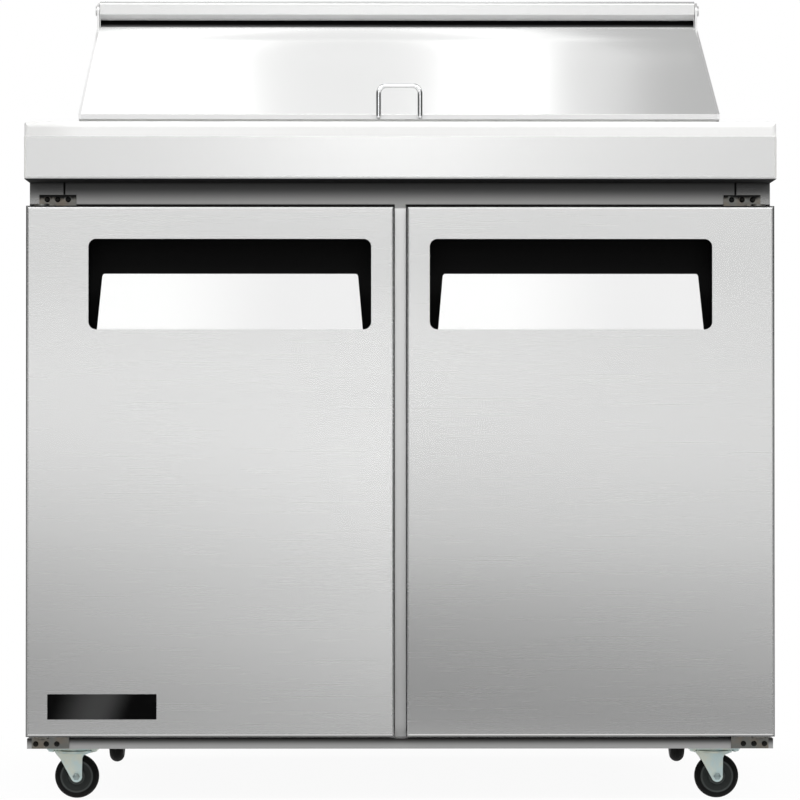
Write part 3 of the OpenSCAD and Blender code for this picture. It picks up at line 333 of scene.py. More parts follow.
# Liner and foam: a satin stainless tub set into the shell, with rigid foam poured
# between the two, so that the walls are one stiff sandwich.
liner_sheet = brushed_steel("liner_sheet", 0.74, 0.36, (5.0, 220.0, 5.0))
dress(liner_sheet, "cabinet_liner")
poured_foam, spot = finish("poured_foam", {"Specular IOR Level": 0.2})
pores = spot.node("ShaderNodeTexVoronoi", {"feature": "F1"}, {"Vector": spot, "Scale": 520.0})
swell = spot.noise((18.0, 18.0, 40.0), 3.0)
feed(poured_foam, "Base Color", swell.blend((0.66, 0.52, 0.25), (0.82, 0.72, 0.44)))
feed(poured_foam, "Roughness", 0.78 + swell * 0.18)
emboss(poured_foam, pores + swell, 0.0006)
dress(poured_foam, "foam_insulation")


# Compressor and tray: a black welded shell on rubber feet beside the galvanised tray
# that catches the defrost water, all bolted to the floor of the machine space.
def black_paint(name, tone, roughness, gloss=0.45):
    """Sprayed or moulded black with a slight orange-peel surface and pale dust."""
    material, spot = finish(name, {"Specular IOR Level": gloss})
    peel = spot.noise(even(260.0), 2.0)
    dust = spot.noise(even(22.0), 4.0, 0.65).step(0.55, 0.8)
    feed(material, "Base Color", dust.blend((tone, tone, tone * 1.04),
                                            (tone * 2.1, tone * 2.1, tone * 2.0)))
    feed(material, "Roughness", roughness + peel * 0.08 + dust * 0.15)
    emboss(material, peel, 0.00006)
    return material


dress(black_paint("shell_paint", 0.016, 0.28), "compressor")
dress(black_paint("motor_paint", 0.03, 0.42), "fan_motors")
dress(black_paint("gland_plastic", 0.02, 0.45), "cord_gland")
dress(zinc_sheet, "condensate_tray")


# Coils: packs of thin aluminium fins pressed onto four straight tubes between end
# plates. The condenser behind the grille is sprayed black, the evaporator is bare.
def start_tree(name, sizes):
    """Geometry tree with a shape, a finish and the named sizes as its inputs."""
    tree = bpy.data.node_groups.new(name, "GeometryNodeTree")
    kinds = {int: "NodeSocketInt", float: "NodeSocketFloat", tuple: "NodeSocketVector",
             bool: "NodeSocketBool"}
    wanted = {"Shape": "NodeSocketGeometry", "Finish": "NodeSocketMaterial"}
    wanted.update((label, kinds[kind]) for label, kind in sizes.items())
    for label, kind in wanted.items():
        tree.interface.new_socket(label, in_out="INPUT", socket_type=kind)
    tree.interface.new_socket("Piece", in_out="OUTPUT", socket_type="NodeSocketGeometry")
    entry = Socket(tree).node("NodeGroupInput").socket.node
    return tree, {output.name: Socket(tree, output) for output in entry.outputs if output.name}


def joined(shapes):
    return shapes[0].node("GeometryNodeJoinGeometry", {}, {0: shapes})


def realised(shape):
    return shape.node("GeometryNodeRealizeInstances", {}, {0: shape})


def end_tree(shape, size):
    """Closes a tree with its copies made real and its finish set."""
    whole = realised(joined([shape]))
    done = whole.node("GeometryNodeSetMaterial", {}, {
        "Geometry": whole, "Material": size["Finish"]})
    done.node("NodeGroupOutput", {}, {0: done})


def known_in(*parts):
    return next(part for part in parts if isinstance(part, Socket))


def point(x, y, z):
    """A vector of three sizes, at least one of them a socket."""
    return known_in(x, y, z).node("ShaderNodeCombineXYZ", {}, {0: x, 1: y, 2: z})


ORIGIN = (0.0, 0.0, 0.0)


def row_of(count, offset, start=ORIGIN):
    """Points in a straight row, each at the offset from the one before."""
    return known_in(count, offset, start).node("GeometryNodeMeshLine", {"mode": "OFFSET"}, {
        "Count": count, "Start Location": start, "Offset": offset})


def repeated(shape, points, **sockets):
    return shape.node("GeometryNodeInstanceOnPoints", {}, {
        "Points": points, "Instance": shape, **sockets})


def moved(shape, **sockets):
    return shape.node("GeometryNodeTransform", {}, {"Geometry": shape, **sockets})


def smooth(mesh, angle=35.0):
    mesh.shade_smooth()
    mesh.set_sharp_from_angle(angle=math.radians(angle))


def grow(name, tree, values, shape=None):
    """Runs a tree once and keeps the result as a plain mesh."""
    piece = bpy.data.objects.new(name, shape or bpy.data.meshes.new(name))
    scene.collection.objects.link(piece)
    modifier = piece.modifiers.new(name, "NODES")
    modifier.node_group = tree
    for entry in tree.interface.items_tree:
        if entry.in_out == "INPUT" and entry.name in values:
            modifier[entry.identifier] = values[entry.name]
    grown = piece.evaluated_get(bpy.context.evaluated_depsgraph_get())
    mesh = bpy.data.meshes.new_from_object(grown)
    piece.modifiers.clear()
    piece.data = mesh
    smooth(mesh)
    return piece


def fit(piece, body, slot, *nodes):
    """Fixes a finished piece to its body, in place of the solids it stands for."""
    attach(piece, body)
    if nodes:
        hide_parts(*nodes)


coil_tree, size = start_tree("finned_coil", {
    "Corner": tuple, "Size": tuple, "Pitch": float, "Fin": float, "Tube": float})
long, deep, tall = (axis_part(size["Size"], axis) for axis in "XYZ")
pitch = size["Pitch"]
fin = pitch.node("GeometryNodeMeshCube", {}, {"Size": point(size["Fin"], deep, tall)})
fins = repeated(fin, row_of(long / pitch, point(pitch, 0.0, 0.0),
                            point(pitch * 0.5, deep * 0.5, tall * 0.5)))
end_thick = size["Fin"] * 5.0
plate = pitch.node("GeometryNodeMeshCube", {}, {"Size": point(end_thick, deep, tall)})
plates = repeated(plate, row_of(2, point(long - end_thick, 0.0, 0.0),
                                point(end_thick * 0.5, deep * 0.5, tall * 0.5)))
tube_ends = 0.012
tube = pitch.node("GeometryNodeMeshCylinder", {}, {
    "Vertices": 16, "Radius": size["Tube"], "Depth": long + tube_ends})
tubes = repeated(moved(tube, Rotation=(0.0, math.pi / 2, 0.0)),
                 row_of(4, point(0.0, 0.0, tall * 0.2), point(long * 0.5, deep * 0.5, tall * 0.2)))
end_tree(moved(joined([fins, plates, tubes]), Translation=size["Corner"]), size)

fin_paint = black_paint("fin_paint", 0.028, 0.5)
fin_metal = brushed_steel("fin_metal", 0.70, 0.34, (5.0, 5.0, 300.0))
condenser = grow("condenser_fins", coil_tree, {
    "Finish": fin_paint, "Corner": (0.052, 0.293, 0.0765), "Size": (0.236, 0.050, 0.216),
    "Pitch": 0.004, "Fin": 0.0005, "Tube": 0.0045})
fit(condenser, "cabinet", "black_fins", "condenser_coil")
evaporator = grow("evaporator_fins", coil_tree, {
    "Finish": fin_metal, "Corner": (-0.230, 0.290, 0.505), "Size": (0.460, 0.036, 0.194),
    "Pitch": 0.005, "Fin": 0.0005, "Tube": 0.0045})
fit(evaporator, "cabinet", "fin_aluminium", "evaporator_coil")


# Refrigerant lines: soft copper tube, bent by hand and brazed into the compressor and
# the condenser, with two ends that go up through the wall to the evaporator.
def bend(corners, radius, steps=8):
    """Polyline through the corners with each bend drawn as an arc of the given radius."""
    path = [Vector(corners[0])]
    for before, corner, after in zip(corners, corners[1:], corners[2:]):
        corner = Vector(corner)
        back, on = Vector(before) - corner, Vector(after) - corner
        reach = min(radius, back.length * 0.45, on.length * 0.45)
        first, last = corner + back.normalized() * reach, corner + on.normalized() * reach
        for t in (k / steps for k in range(steps + 1)):
            path.append(first * (1 - t) ** 2 + corner * 2 * t * (1 - t) + last * t ** 2)
    return path + [Vector(corners[-1])]


def turns_of(count):
    """Angles of a full turn in equal parts."""
    return [math.tau * i / count for i in range(count)]


def tube_loops(path, radius, sides=14):
    """Rings square to a path, carried along it without twist."""
    loops, side = [], None
    for k, spot in enumerate(path):
        along = (path[min(k + 1, len(path) - 1)] - path[max(k - 1, 0)]).normalized()
        side = (side or along.orthogonal()).copy()
        side = (side - along * side.dot(along)).normalized()
        up = along.cross(side)
        loops.append([spot + (side * math.cos(a) + up * math.sin(a)) * radius
                      for a in turns_of(sides)])
    return loops


def skin(shape, loops, ring=False):
    """Faces over a row of closed loops; a ring joins the last loop to the first."""
    rows = [[shape.verts.new(spot) for spot in loop] for loop in loops]
    for first, second in zip(rows, rows[1:] + rows[:1] if ring else rows[1:]):
        for i in range(len(first)):
            j = (i + 1) % len(first)
            shape.faces.new((first[i], first[j], second[j], second[i]))
    if not ring:
        shape.faces.new(rows[0])
        shape.faces.new(rows[-1])


def meshed(name, shape):
    """Mesh of a finished shape, with its faces turned outwards."""
    bmesh.ops.recalc_face_normals(shape, faces=shape.faces)
    mesh = bpy.data.meshes.new(name)
    shape.to_mesh(mesh)
    shape.free()
    return mesh


def solid(name, shape, material, angle=35.0):
    """Piece from a finished shape."""
    bmesh.ops.remove_doubles(shape, verts=shape.verts, dist=0.000001)
    mesh = meshed(name, shape)
    mesh.materials.append(material)
    smooth(mesh, angle)
    piece = bpy.data.objects.new(name, mesh)
    scene.collection.objects.link(piece)
    return piece


copper, spot = finish("drawn_copper", {"Metallic": 1.0})
patina = spot.noise(even(38.0), 4.0, 0.6)
feed(copper, "Base Color", patina.step(0.4, 0.75).blend((0.86, 0.42, 0.25), (0.36, 0.17, 0.10)))
feed(copper, "Roughness", 0.22 + patina * 0.3)
LINE_RADIUS, LINE_BEND = 0.004, 0.016
lines = bmesh.new()
for corners in (
    ((-0.180, 0.256, 0.2445), (-0.180, 0.256, 0.2765), (0.022, 0.256, 0.2765),
     (0.022, 0.318, 0.2765), (0.022, 0.318, 0.2493), (0.046, 0.318, 0.2493)),
    ((0.046, 0.318, 0.1197), (0.012, 0.318, 0.1197), (0.012, 0.161, 0.1197),
     (0.012, 0.161, 0.3165)),
    ((-0.240, 0.256, 0.2445), (-0.240, 0.256, 0.2765), (-0.240, 0.161, 0.2765),
     (-0.240, 0.161, 0.3165)),
):
    skin(lines, tube_loops(bend(corners, LINE_BEND), LINE_RADIUS))
fit(solid("copper_lines", lines, copper), "cabinet", "copper", "refrigerant_lines")


# Fans: moulded plastic hubs with five pitched blades each, pressed onto the motor
# shafts of the evaporator and the condenser.
blade_plastic, spot = finish("blade_plastic", {})
flow = spot.noise(even(60.0), 2.0)
feed(blade_plastic, "Base Color", flow.blend((0.60, 0.61, 0.61), (0.72, 0.72, 0.71)))
feed(blade_plastic, "Roughness", 0.38 + flow * 0.14)
emboss(blade_plastic, flow, 0.0001)


def blade_section(radius, swing, wide, lift):
    """Closed section across a blade, thin, pitched and a little hollow."""
    half_thick, hollow, spare = 0.0007, 0.0012, 0.0008
    loop = []
    for face, sides in ((-1, (-1, -0.4, 0.4, 1)), (1, (1, 0.4, -0.4, -1))):
        for side in sides:
            a = swing + side * wide
            y = side * (lift - spare) + face * half_thick + hollow * (1 - side * side)
            loop.append(Vector((radius * math.cos(a), y, radius * math.sin(a))))
    return loop


def fan(name, body, centre, radius, half, bore):
    """Hub and blades round an axis along Y."""
    blades, root, sections = 5, 0.0165, 7
    shape = bmesh.new()
    hub = ((bore, -0.007), (0.0135, -0.007), (0.0160, -0.0062), (0.0170, -0.0045),
           (0.0170, 0.0062), (0.0162, 0.007), (bore, 0.007))
    around = turns_of(40)
    skin(shape, [[Vector((r * math.cos(a), y, r * math.sin(a))) for a in around]
                 for r, y in hub], ring=True)
    for turn in turns_of(blades):
        loops = []
        for t in (i / sections for i in range(sections + 1)):
            swept = math.radians(4 + 16 * t) + turn
            tip = 1 - 0.35 * max(0.0, t - 0.8) / 0.2
            wide = (0.30 + 0.10 * math.sin(math.pi * t)) * tip
            loops.append(blade_section(root + (radius - root) * t, swept, wide,
                                       half * (0.95 - 0.25 * t)))
        skin(shape, loops)
    bmesh.ops.translate(shape, verts=shape.verts, vec=centre)
    fit(solid(name, shape, blade_plastic), body, "fan_blades", body)


EVAPORATOR_FAN_X, EVAPORATOR_FAN_Z = -0.060, 0.611
fan("evaporator_blades", "evaporator_fan", (EVAPORATOR_FAN_X, 0.244, EVAPORATOR_FAN_Z),
    0.0715, 0.0066, 0.00405)
fan("condenser_blades", "condenser_fan", (0.170, 0.235, 0.1945), 0.0795, 0.0080, 0.00505)


# Rear grille: a galvanised sheet screwed over the machine space, with two columns of
# slots, each under a pressed louvre that is drawn out of the sheet.
dress(zinc_sheet, "rear_grille")
louvre_tree, size = start_tree("louvre_rows", {
    "Corner": tuple, "Across": tuple, "Up": tuple, "Rows": int})
column = repeated(size["Shape"], row_of(size["Rows"], size["Up"]))
end_tree(repeated(column, row_of(2, size["Across"], size["Corner"])), size)
louvre = bmesh.new()
hoods = []
drawn_out, drop, sheet = 0.0055, 0.0115, 0.0008
for x, swell in ((0.0, 0.12), (0.002, 0.5), (0.006, 0.85), (0.012, 1.0),
                 (0.318, 1.0), (0.324, 0.85), (0.328, 0.5), (0.330, 0.12)):
    arc = [(drawn_out * swell * math.sin(a), drop * (math.cos(a) - 1.0))
           for a in (math.pi / 2 * i / 6 for i in range(7))]
    outside = [Vector((x, y, z)) for y, z in arc]
    inside = [Vector((x, y - sheet, z - sheet / 4)) for y, z in reversed(arc)]
    hoods.append(outside + inside)
skin(louvre, hoods)
louvres = grow("grille_louvres", louvre_tree, {
    "Finish": zinc_sheet, "Corner": (-0.346, 0.3725, 0.1125), "Across": (0.362, 0.0, 0.0),
    "Up": (0.0, 0.0, 0.02222), "Rows": 9}, meshed("louvre", louvre))
fit(louvres, "cabinet", "zinc_sheet")


# Evaporator cover: a folded sheet on the liner's back wall with air slots, a wire
# guard over the fan and a thermostat dial with a printed scale of dashes round it.
def hoop_of(known, radius, resolution):
    return known.node("GeometryNodeCurvePrimitiveCircle", {}, {
        "Resolution": resolution, "Radius": radius})


def line_to(start, end):
    return known_in(start, end).node("GeometryNodeCurvePrimitiveLine", {}, {
        "Start": start, "End": end})


def drawn_wire(curve, section):
    return curve.node("GeometryNodeCurveToMesh", {}, {
        "Curve": curve, "Profile Curve": section, "Fill Caps": True})


dress(brushed_steel("cover_sheet", 0.74, 0.33), "evaporator_housing")
dress(black_paint("dial_plastic", 0.018, 0.38), "thermostat_dial")
SAME_SPOT = (0.0, 0.0, 0.0)
guard_tree, size = start_tree("fan_guard", {
    "Centre": tuple, "Rings": int, "Spacing": float, "Wire": float, "Spokes": int})
spacing = size["Spacing"]
index = spacing.node("GeometryNodeInputIndex")
hoops = repeated(hoop_of(spacing, spacing, 48), row_of(size["Rings"], SAME_SPOT),
                 Scale=point(index + 1.0, index + 1.0, index + 1.0))
behind = size["Wire"] * 2.0
spoke = line_to(point(spacing, 0.0, behind), point(spacing * size["Rings"], 0.0, behind))
spokes = repeated(spoke, row_of(size["Spokes"], SAME_SPOT),
                  Rotation=point(0.0, 0.0, index * math.tau * (1.0 / size["Spokes"])))
wires = drawn_wire(realised(joined([hoops, spokes])), hoop_of(spacing, size["Wire"], 8))
wires = moved(wires, Translation=size["Centre"], Rotation=(math.pi / 2, 0.0, 0.0))
end_tree(wires, size)

coated_wire, spot = finish("coated_wire", {"Coat Weight": 0.2})
coat = spot.noise(even(240.0), 2.0)
feed(coated_wire, "Base Color", coat.blend((0.74, 0.75, 0.74), (0.84, 0.84, 0.82)))
feed(coated_wire, "Roughness", 0.3 + coat * 0.14)
emboss(coated_wire, coat, 0.0001)
guard = grow("evaporator_guard", guard_tree, {
    "Finish": coated_wire, "Centre": (EVAPORATOR_FAN_X, 0.2288, EVAPORATOR_FAN_Z), "Rings": 6,
    "Spacing": 0.0136, "Wire": 0.0012, "Spokes": 6})
fit(guard, "cabinet", "coated_wire")

dash_tree, size = start_tree("dial_scale", {
    "Centre": tuple, "Radius": float, "Dashes": int, "Sweep": float})
sweep = size["Sweep"]
index = sweep.node("GeometryNodeInputIndex")
dash = index.node("GeometryNodeMeshCube", {}, {"Size": (0.0012, 0.0006, 0.0050)})
dash = moved(dash, Translation=point(0.0, 0.0, size["Radius"]))
turn = index * (sweep / (size["Dashes"] - 1.0)) - sweep * 0.5
dashes = repeated(dash, row_of(size["Dashes"], SAME_SPOT), Rotation=point(0.0, turn, 0.0))
end_tree(moved(dashes, Translation=size["Centre"]), size)
scale_ink = black_paint("scale_ink", 0.012, 0.5)
dial_scale = grow("dial_dashes", dash_tree, {
    "Finish": scale_ink, "Centre": (0.190, 0.2300, 0.541), "Radius": 0.0225, "Dashes": 10,
    "Sweep": math.radians(270.0)})
fit(dial_scale, "cabinet", "black_plastic")


# Shelves: plastic-coated wires welded across three rods, one shelf behind each door,
# hung on clips in slotted strips.
shelf_tree, size = start_tree("wire_shelf", {
    "Corner": tuple, "Width": float, "Depth": float, "Wires": int, "Wire": float,
    "Rods": int, "Rod": float})
width, depth = size["Width"], size["Depth"]
inset, above_rods = 0.004, 0.004
runner = drawn_wire(line_to(ORIGIN, point(0.0, depth, 0.0)), hoop_of(width, size["Wire"], 10))
gap = (width - inset * 2) / (size["Wires"] - 1.0)
runners = repeated(runner, row_of(size["Wires"], point(gap, 0.0, 0.0), (inset, 0.0, above_rods)))
rod = drawn_wire(line_to(ORIGIN, point(width, 0.0, 0.0)), hoop_of(width, size["Rod"], 12))
gap = (depth - inset * 2) / (size["Rods"] - 1.0)
rods = repeated(rod, row_of(size["Rods"], point(0.0, gap, 0.0), (0.0, inset, 0.0)))
end_tree(moved(joined([runners, rods]), Translation=size["Corner"]), size)
for side, x in (("left", -0.402), ("right", 0.008)):
    shelf = grow(side + "_wires", shelf_tree, {
        "Finish": coated_wire, "Corner": (x, -0.256, 0.4245), "Width": 0.394, "Depth": 0.472,
        "Wires": 19, "Wire": 0.002, "Rods": 3, "Rod": 0.003})
    fit(shelf, "cabinet", "coated_wire", side + "_shelf")
dress(zinc_sheet, "shelf_supports")


# Worktop: one stainless sheet folded into a deck with a deep apron on the front and
# plain sides, cut open behind for the rail that carries the pans. The apron ends in a
# folded hem with a painted highlight along it and painted shade underneath.
deck_steel = brushed_steel("deck_steel", 0.72, 0.24)
spot = spot_of(deck_steel)
rise = axis_part(spot, "Z")
end = abs(axis_part(spot, "X")).step(0.4592, 0.4600)
# Painted highlight: the hem is near-white and not metal.
hem = 1 - rise.step(0.7678, 0.7684)
# Painted shade: the underside below the hem is near-black and rough.
under = 1 - rise.step(0.7661, 0.7663)
over(deck_steel, end, (0.80, 0.80, 0.775))
over(deck_steel, hem, (0.98, 0.98, 0.97))
over(deck_steel, under, grey(0.002))
feed(deck_steel, "Metallic", 1 - end.at_least(hem))
feed(deck_steel, "Roughness", under * 0.75 + 0.24)
dress(deck_steel, "worktop")
dress(brushed_steel("rail_steel", 0.74, 0.27), "pan_rail", "pan_dividers")


# Food pans: deep-drawn stainless pans with tapered walls, round corners and a flat
# rim, standing in two rows of four on the rail's ledge.
def round_loop(half_x, half_y, radius, z, steps=6):
    """Closed loop round a rectangle with rounded corners."""
    loop = []
    for k, (sx, sy) in enumerate(((1, 1), (-1, 1), (-1, -1), (1, -1))):
        for i in range(steps + 1):
            a = math.pi / 2 * (k + i / steps)
            loop.append(Vector((sx * (half_x - radius) + radius * math.cos(a),
                                sy * (half_y - radius) + radius * math.sin(a), z)))
    return loop


pan_steel = brushed_steel("pan_steel", 0.76, 0.24, (160.0, 160.0, 6.0))
pan_tree, size = start_tree("pan_row", {"First": tuple, "Pitch": tuple, "Pans": int})
end_tree(repeated(size["Shape"], row_of(size["Pans"], size["Pitch"], size["First"])), size)
PAN_PITCH, NARROWER = 0.1765, 0.007
pan_section = (
    (0.0660, 0.010, -0.1000), (0.0715, 0.013, -0.0992), (0.0750, 0.016, -0.0955),
    (0.0760, 0.017, -0.0900), (0.0795, 0.018, -0.0050), (0.0806, 0.018, -0.0018),
    (0.0820, 0.017, -0.0012), (0.0872, 0.008, -0.0012), (0.0880, 0.008, -0.0008),
    (0.0880, 0.008, -0.0004), (0.0872, 0.008, 0.0000), (0.0820, 0.016, 0.0000),
    (0.0798, 0.017, -0.0008), (0.0784, 0.017, -0.0040), (0.0748, 0.016, -0.0900),
    (0.0738, 0.015, -0.0945), (0.0706, 0.012, -0.0978), (0.0655, 0.009, -0.0988))
drawn = bmesh.new()
skin(drawn, [round_loop(half_x, half_x - NARROWER, radius, z)
             for half_x, radius, z in pan_section])
pan_mesh = meshed("food_pan", drawn)
for row, y in (("front", -0.0685), ("rear", 0.0945)):
    pans = grow(row + "_pans", pan_tree, {
        "Finish": pan_steel, "First": (PAN_PITCH * -1.5, y, 0.845),
        "Pitch": (PAN_PITCH, 0.0, 0.0), "Pans": 4}, pan_mesh)
    fit(pans, "cabinet", "liner_steel", row + "_food_pans")


# Hood: a fixed stainless housing behind the lid, folded from sheet and standing on the
# worktop, with a rolled nose over the hinge and a slot below it painted dark as shade.
hood_steel = brushed_steel("hood_steel", 0.76, 0.25)
spot = spot_of(hood_steel)
front = 1 - axis_part(spot, "Y").step(0.2004, 0.2008)
rise = axis_part(spot, "Z")
low = front * (1 - rise.step(1.0284, 1.0288))
over(hood_steel, low, grey(0.80))
# Painted shade: the hood face under the nose is near-black, dark grey at its foot.
slot = rise.step(1.0100, 1.0165).blend(grey(0.24), grey(0.003))
over(hood_steel, front * (1 - rise.step(1.0214, 1.0218)), slot)
feed(hood_steel, "Roughness", low * 0.35 + 0.26)
dress(hood_steel, "rear_hood")


# Lid: a stainless skin over an insulated white panel, closed by steel end caps that
# carry the hinge, and lifted by a bent bright rod on its front lip.
def rolled(spot):
    """Height of the lid's upper edge, which rolls up towards the hood."""
    start_y, curl = 0.05, 9.3
    up = (axis_part(spot, "Y") - start_y).at_least(0.0)
    return up * up * up * curl


lid_steel = brushed_steel("lid_steel", 0.88, 0.19, bow=rolled)
lip = 1 - axis_part(spot_of(lid_steel), "Z").step(0.8620, 0.8630)
over(lid_steel, lip, grey(0.72))
feed(lid_steel, "Roughness", lip * 0.3 + 0.19)
dress(lid_steel, "lid_skin")
panel_plastic, spot = finish("panel_plastic", {"Specular IOR Level": 0.45})
moulded = spot.noise(even(300.0), 2.0)
feed(panel_plastic, "Base Color", moulded.blend((0.80, 0.80, 0.78), (0.86, 0.86, 0.85)))
feed(panel_plastic, "Roughness", 0.42 + moulded * 0.12)
emboss(panel_plastic, moulded, 0.0001)
dress(panel_plastic, "lid_panel")
dress(brushed_steel("cap_steel", 0.8, 0.3, (650.0, 5.0, 650.0)), "lid_end_caps")
bright_rod, spot = finish("bright_rod", {"Metallic": 1.0})
polish = spot.noise(even(300.0), 2.0)
feed(bright_rod, "Base Color", polish.blend((0.86, 0.87, 0.88), grey(0.93)))
feed(bright_rod, "Roughness", 0.10 + polish * 0.08)
dress(bright_rod, "lid_handle")


# Cutting board: a thick slab of white polyethylene with softly rounded edges, lying
# loose on two pins in the deck, with painted shade making it greyer towards its left end.
board_plastic, spot = finish("board_plastic", {"Specular IOR Level": 0.4})
cuts = spot.noise((35.0, 900.0, 35.0), 3.0, 0.7).step(0.6, 0.72)
cloud = spot.noise(even(16.0), 3.0)
feed(board_plastic, "Base Color", cloud.blend((0.965, 0.965, 0.95), (0.985, 0.985, 0.98)))
# Painted shade: the board greys towards its left end.
left_end_shade = 1 - axis_part(spot, "X").step(-0.445, -0.385)
over(board_plastic, left_end_shade, (0.84, 0.84, 0.83))
feed(board_plastic, "Roughness", 0.4 + cloud * 0.1 + cuts * 0.12)
emboss(board_plastic, 1 - cuts, 0.0001)
dress(board_plastic, "cutting_board")


# Doors: folded stainless pans filled with foam and closed by a liner. A black moulded
# tub sits in each pocket with a steel pull lip across its lower part, and a plain
# black plate is fixed low on the left door.
DOOR_MIDDLE = 0.234


def door_wave(turn, wave, twist):
    """Height of a slow wave in the lower half and a slight twist about the middle."""
    return lambda spot: wave(spot) + twist(spot) * (axis_part(spot, "X") - turn * DOOR_MIDDLE)


def painted_door_bands(rise, across, crest, dip, foot):
    """Painted reflection in faint broad bands: lighter in the middle and at the foot, darker
    between and on top.
    """
    level = 1 + rise.step(0.30, 0.45) * (1 - rise.step(0.50, 0.70)) * crest
    level = level - rise.step(*dip) * (1 - rise.step(0.25, 0.34)) * 0.055
    level = level + (1 - rise.step(foot - 0.08, foot)) * 0.12
    return level - rise.step(0.52, 0.70) * (0.13 - across.step(0.05, 0.45) * 0.10)


for side, turn, wave, twist, crest, dip, foot in (
    ("left", -1, sagged(0.5, 0.42), sagged(1.9, 0.48), 0.12, (0.11, 0.19), 0.14),
    ("right", 1, sagged(0.58, 0.225), sagged(0.6, 0.6), 0.075, (0.17, 0.24), 0.20),
):
    door_steel = brushed_steel(side + "_door_steel", 0.73, 0.27,
                               bow=door_wave(turn, wave, twist))
    spot = spot_of(door_steel)
    rise = axis_part(spot, "Z")
    across = abs(axis_part(spot, "X"))
    # Painted reflection: faint bands scale each door's colour.
    feed(door_steel, "Base Color", spot.vector_maths("SCALE", {
        0: colour_of(door_steel), "Scale": painted_door_bands(rise, across, crest, dip, foot)}))
    # Painted shade: a dark line along the door's front edges and across its foot.
    edge = abs(across - DOOR_MIDDLE).step(0.2249, 0.2260)
    front = 1 - axis_part(spot, "Y").step(-0.3640, -0.3630)
    over(door_steel, edge.at_least(1 - rise.step(0.0815, 0.0828)) * front, grey(0.10))
    dress(door_steel, side + "_door_skin")
dress(poured_foam, "left_door_foam", "right_door_foam")
dress(liner_sheet, "left_door_liner", "right_door_liner")
dress(black_paint("tub_plastic", 0.003, 0.6, 0.12), "left_handle_tub", "right_handle_tub")
lip_steel = brushed_steel("lip_steel", 0.97, 0.22)
# Painted shade: each pull lip fades from bright on its left to greyer on its right.
along = axis_part(spot_of(lip_steel), "X")
left_lip_shade = along.step(-0.31, -0.13) * (1 - along.step(-0.02, 0.02))
over(lip_steel, left_lip_shade + along.step(0.11, 0.29), grey(0.84))
dress(lip_steel, "left_pull_lip", "right_pull_lip")
plate_black = black_paint("plate_black", 0.002, 0.4, 0.03)
spot = spot_of(plate_black)
# Painted sheen: a slanted lighter band across the black plate.
slanted = axis_part(spot, "X") - axis_part(spot, "Z") * 0.39 + 0.046
painted_sheen = slanted.step(-0.43, -0.375) * (1 - slanted.step(-0.368, -0.33))
over(plate_black, painted_sheen, grey(0.055))
dress(plate_black, "front_plate")
dress(black_paint("bush_plastic", 0.05, 0.4), "left_door_bushes", "right_door_bushes")


# Gaskets: grey extruded strips with a bellows fold, mitred and welded at the corners
# and pressed into a groove round each door's inner face. Their section is in mm.
gasket_rubber, spot = finish("gasket_rubber", {"Specular IOR Level": 0.4})
bloom = spot.noise(even(60.0), 4.0, 0.6)
feed(gasket_rubber, "Base Color", bloom.blend((0.20, 0.20, 0.21), (0.29, 0.29, 0.30)))
feed(gasket_rubber, "Roughness", 0.5 + bloom * 0.2)
emboss(gasket_rubber, bloom, 0.0002)
DOOR_OUTER, DOOR_INNER, DOOR_FOOT, DOOR_TOP = -461, -7, 80, 734
strip = (
    (24.0, -318.0), (24.0, -316.4), (22.6, -315.9), (22.6, -314.8), (24.0, -314.2),
    (24.0, -313.2), (21.0, -312.2), (21.0, -309.3), (22.0, -308.3), (34.0, -308.3),
    (35.0, -309.3), (35.0, -312.2), (32.0, -313.2), (32.0, -314.2), (33.4, -314.8),
    (33.4, -315.9), (32.0, -316.4), (32.0, -318.0))
for side, turn in (("left", 1), ("right", -1)):
    frame_strip = bmesh.new()
    loops = []
    for inset, y in strip:
        outer, inner = DOOR_OUTER + inset, DOOR_INNER - inset
        foot, top = DOOR_FOOT + inset, DOOR_TOP - inset
        loops.append([Vector((turn * x, y, z)) / 1000.0 for x, z in (
            (outer, foot), (inner, foot), (inner, top), (outer, top))])
    skin(frame_strip, loops, ring=True)
    fit(solid(side + "_gasket_strip", frame_strip, gasket_rubber, 25.0), side + "_door",
        "gasket_rubber", side + "_door_gasket")


# Hinges: pressed steel angles above and below each door with pins through them, held
# by dark cross-recessed screws. Hexagon bolts hold the casters, and two plain pins
# keep the cutting board in its place.
def seats_for(name, spots, facings):
    """Points for screw heads, each with the way that the head faces."""
    mesh = bpy.data.meshes.new(name)
    mesh.from_pydata(spots, [], [])
    marks = mesh.attributes.new("facing", "FLOAT_VECTOR", "POINT")
    for mark, way in zip(marks.data, facings):
        mark.vector = way
    return mesh


def mirrored(spots):
    return [(side * x, y, z) for side in (-1, 1) for x, y, z in spots]


hinge_zinc = zinc_plate("hinge_zinc", (0.22, 0.203, 0.187))
spot = spot_of(hinge_zinc)
# Painted shade: the top of the upper brackets, under the worktop, is near-black along a ragged
# line.
ragged = axis_part(spot, "Z") + spot.noise((260.0, 260.0, 90.0), 2.0) * 0.008
over(hinge_zinc, ragged.step(0.7472, 0.7527), grey(0.012))
dress(hinge_zinc, "hinge_brackets")
dress(brushed_steel("pin_steel", 0.7, 0.3, even(300.0)), "hinge_pins")
screw_steel = zinc_plate("screw_steel", (0.022, 0.021, 0.020))

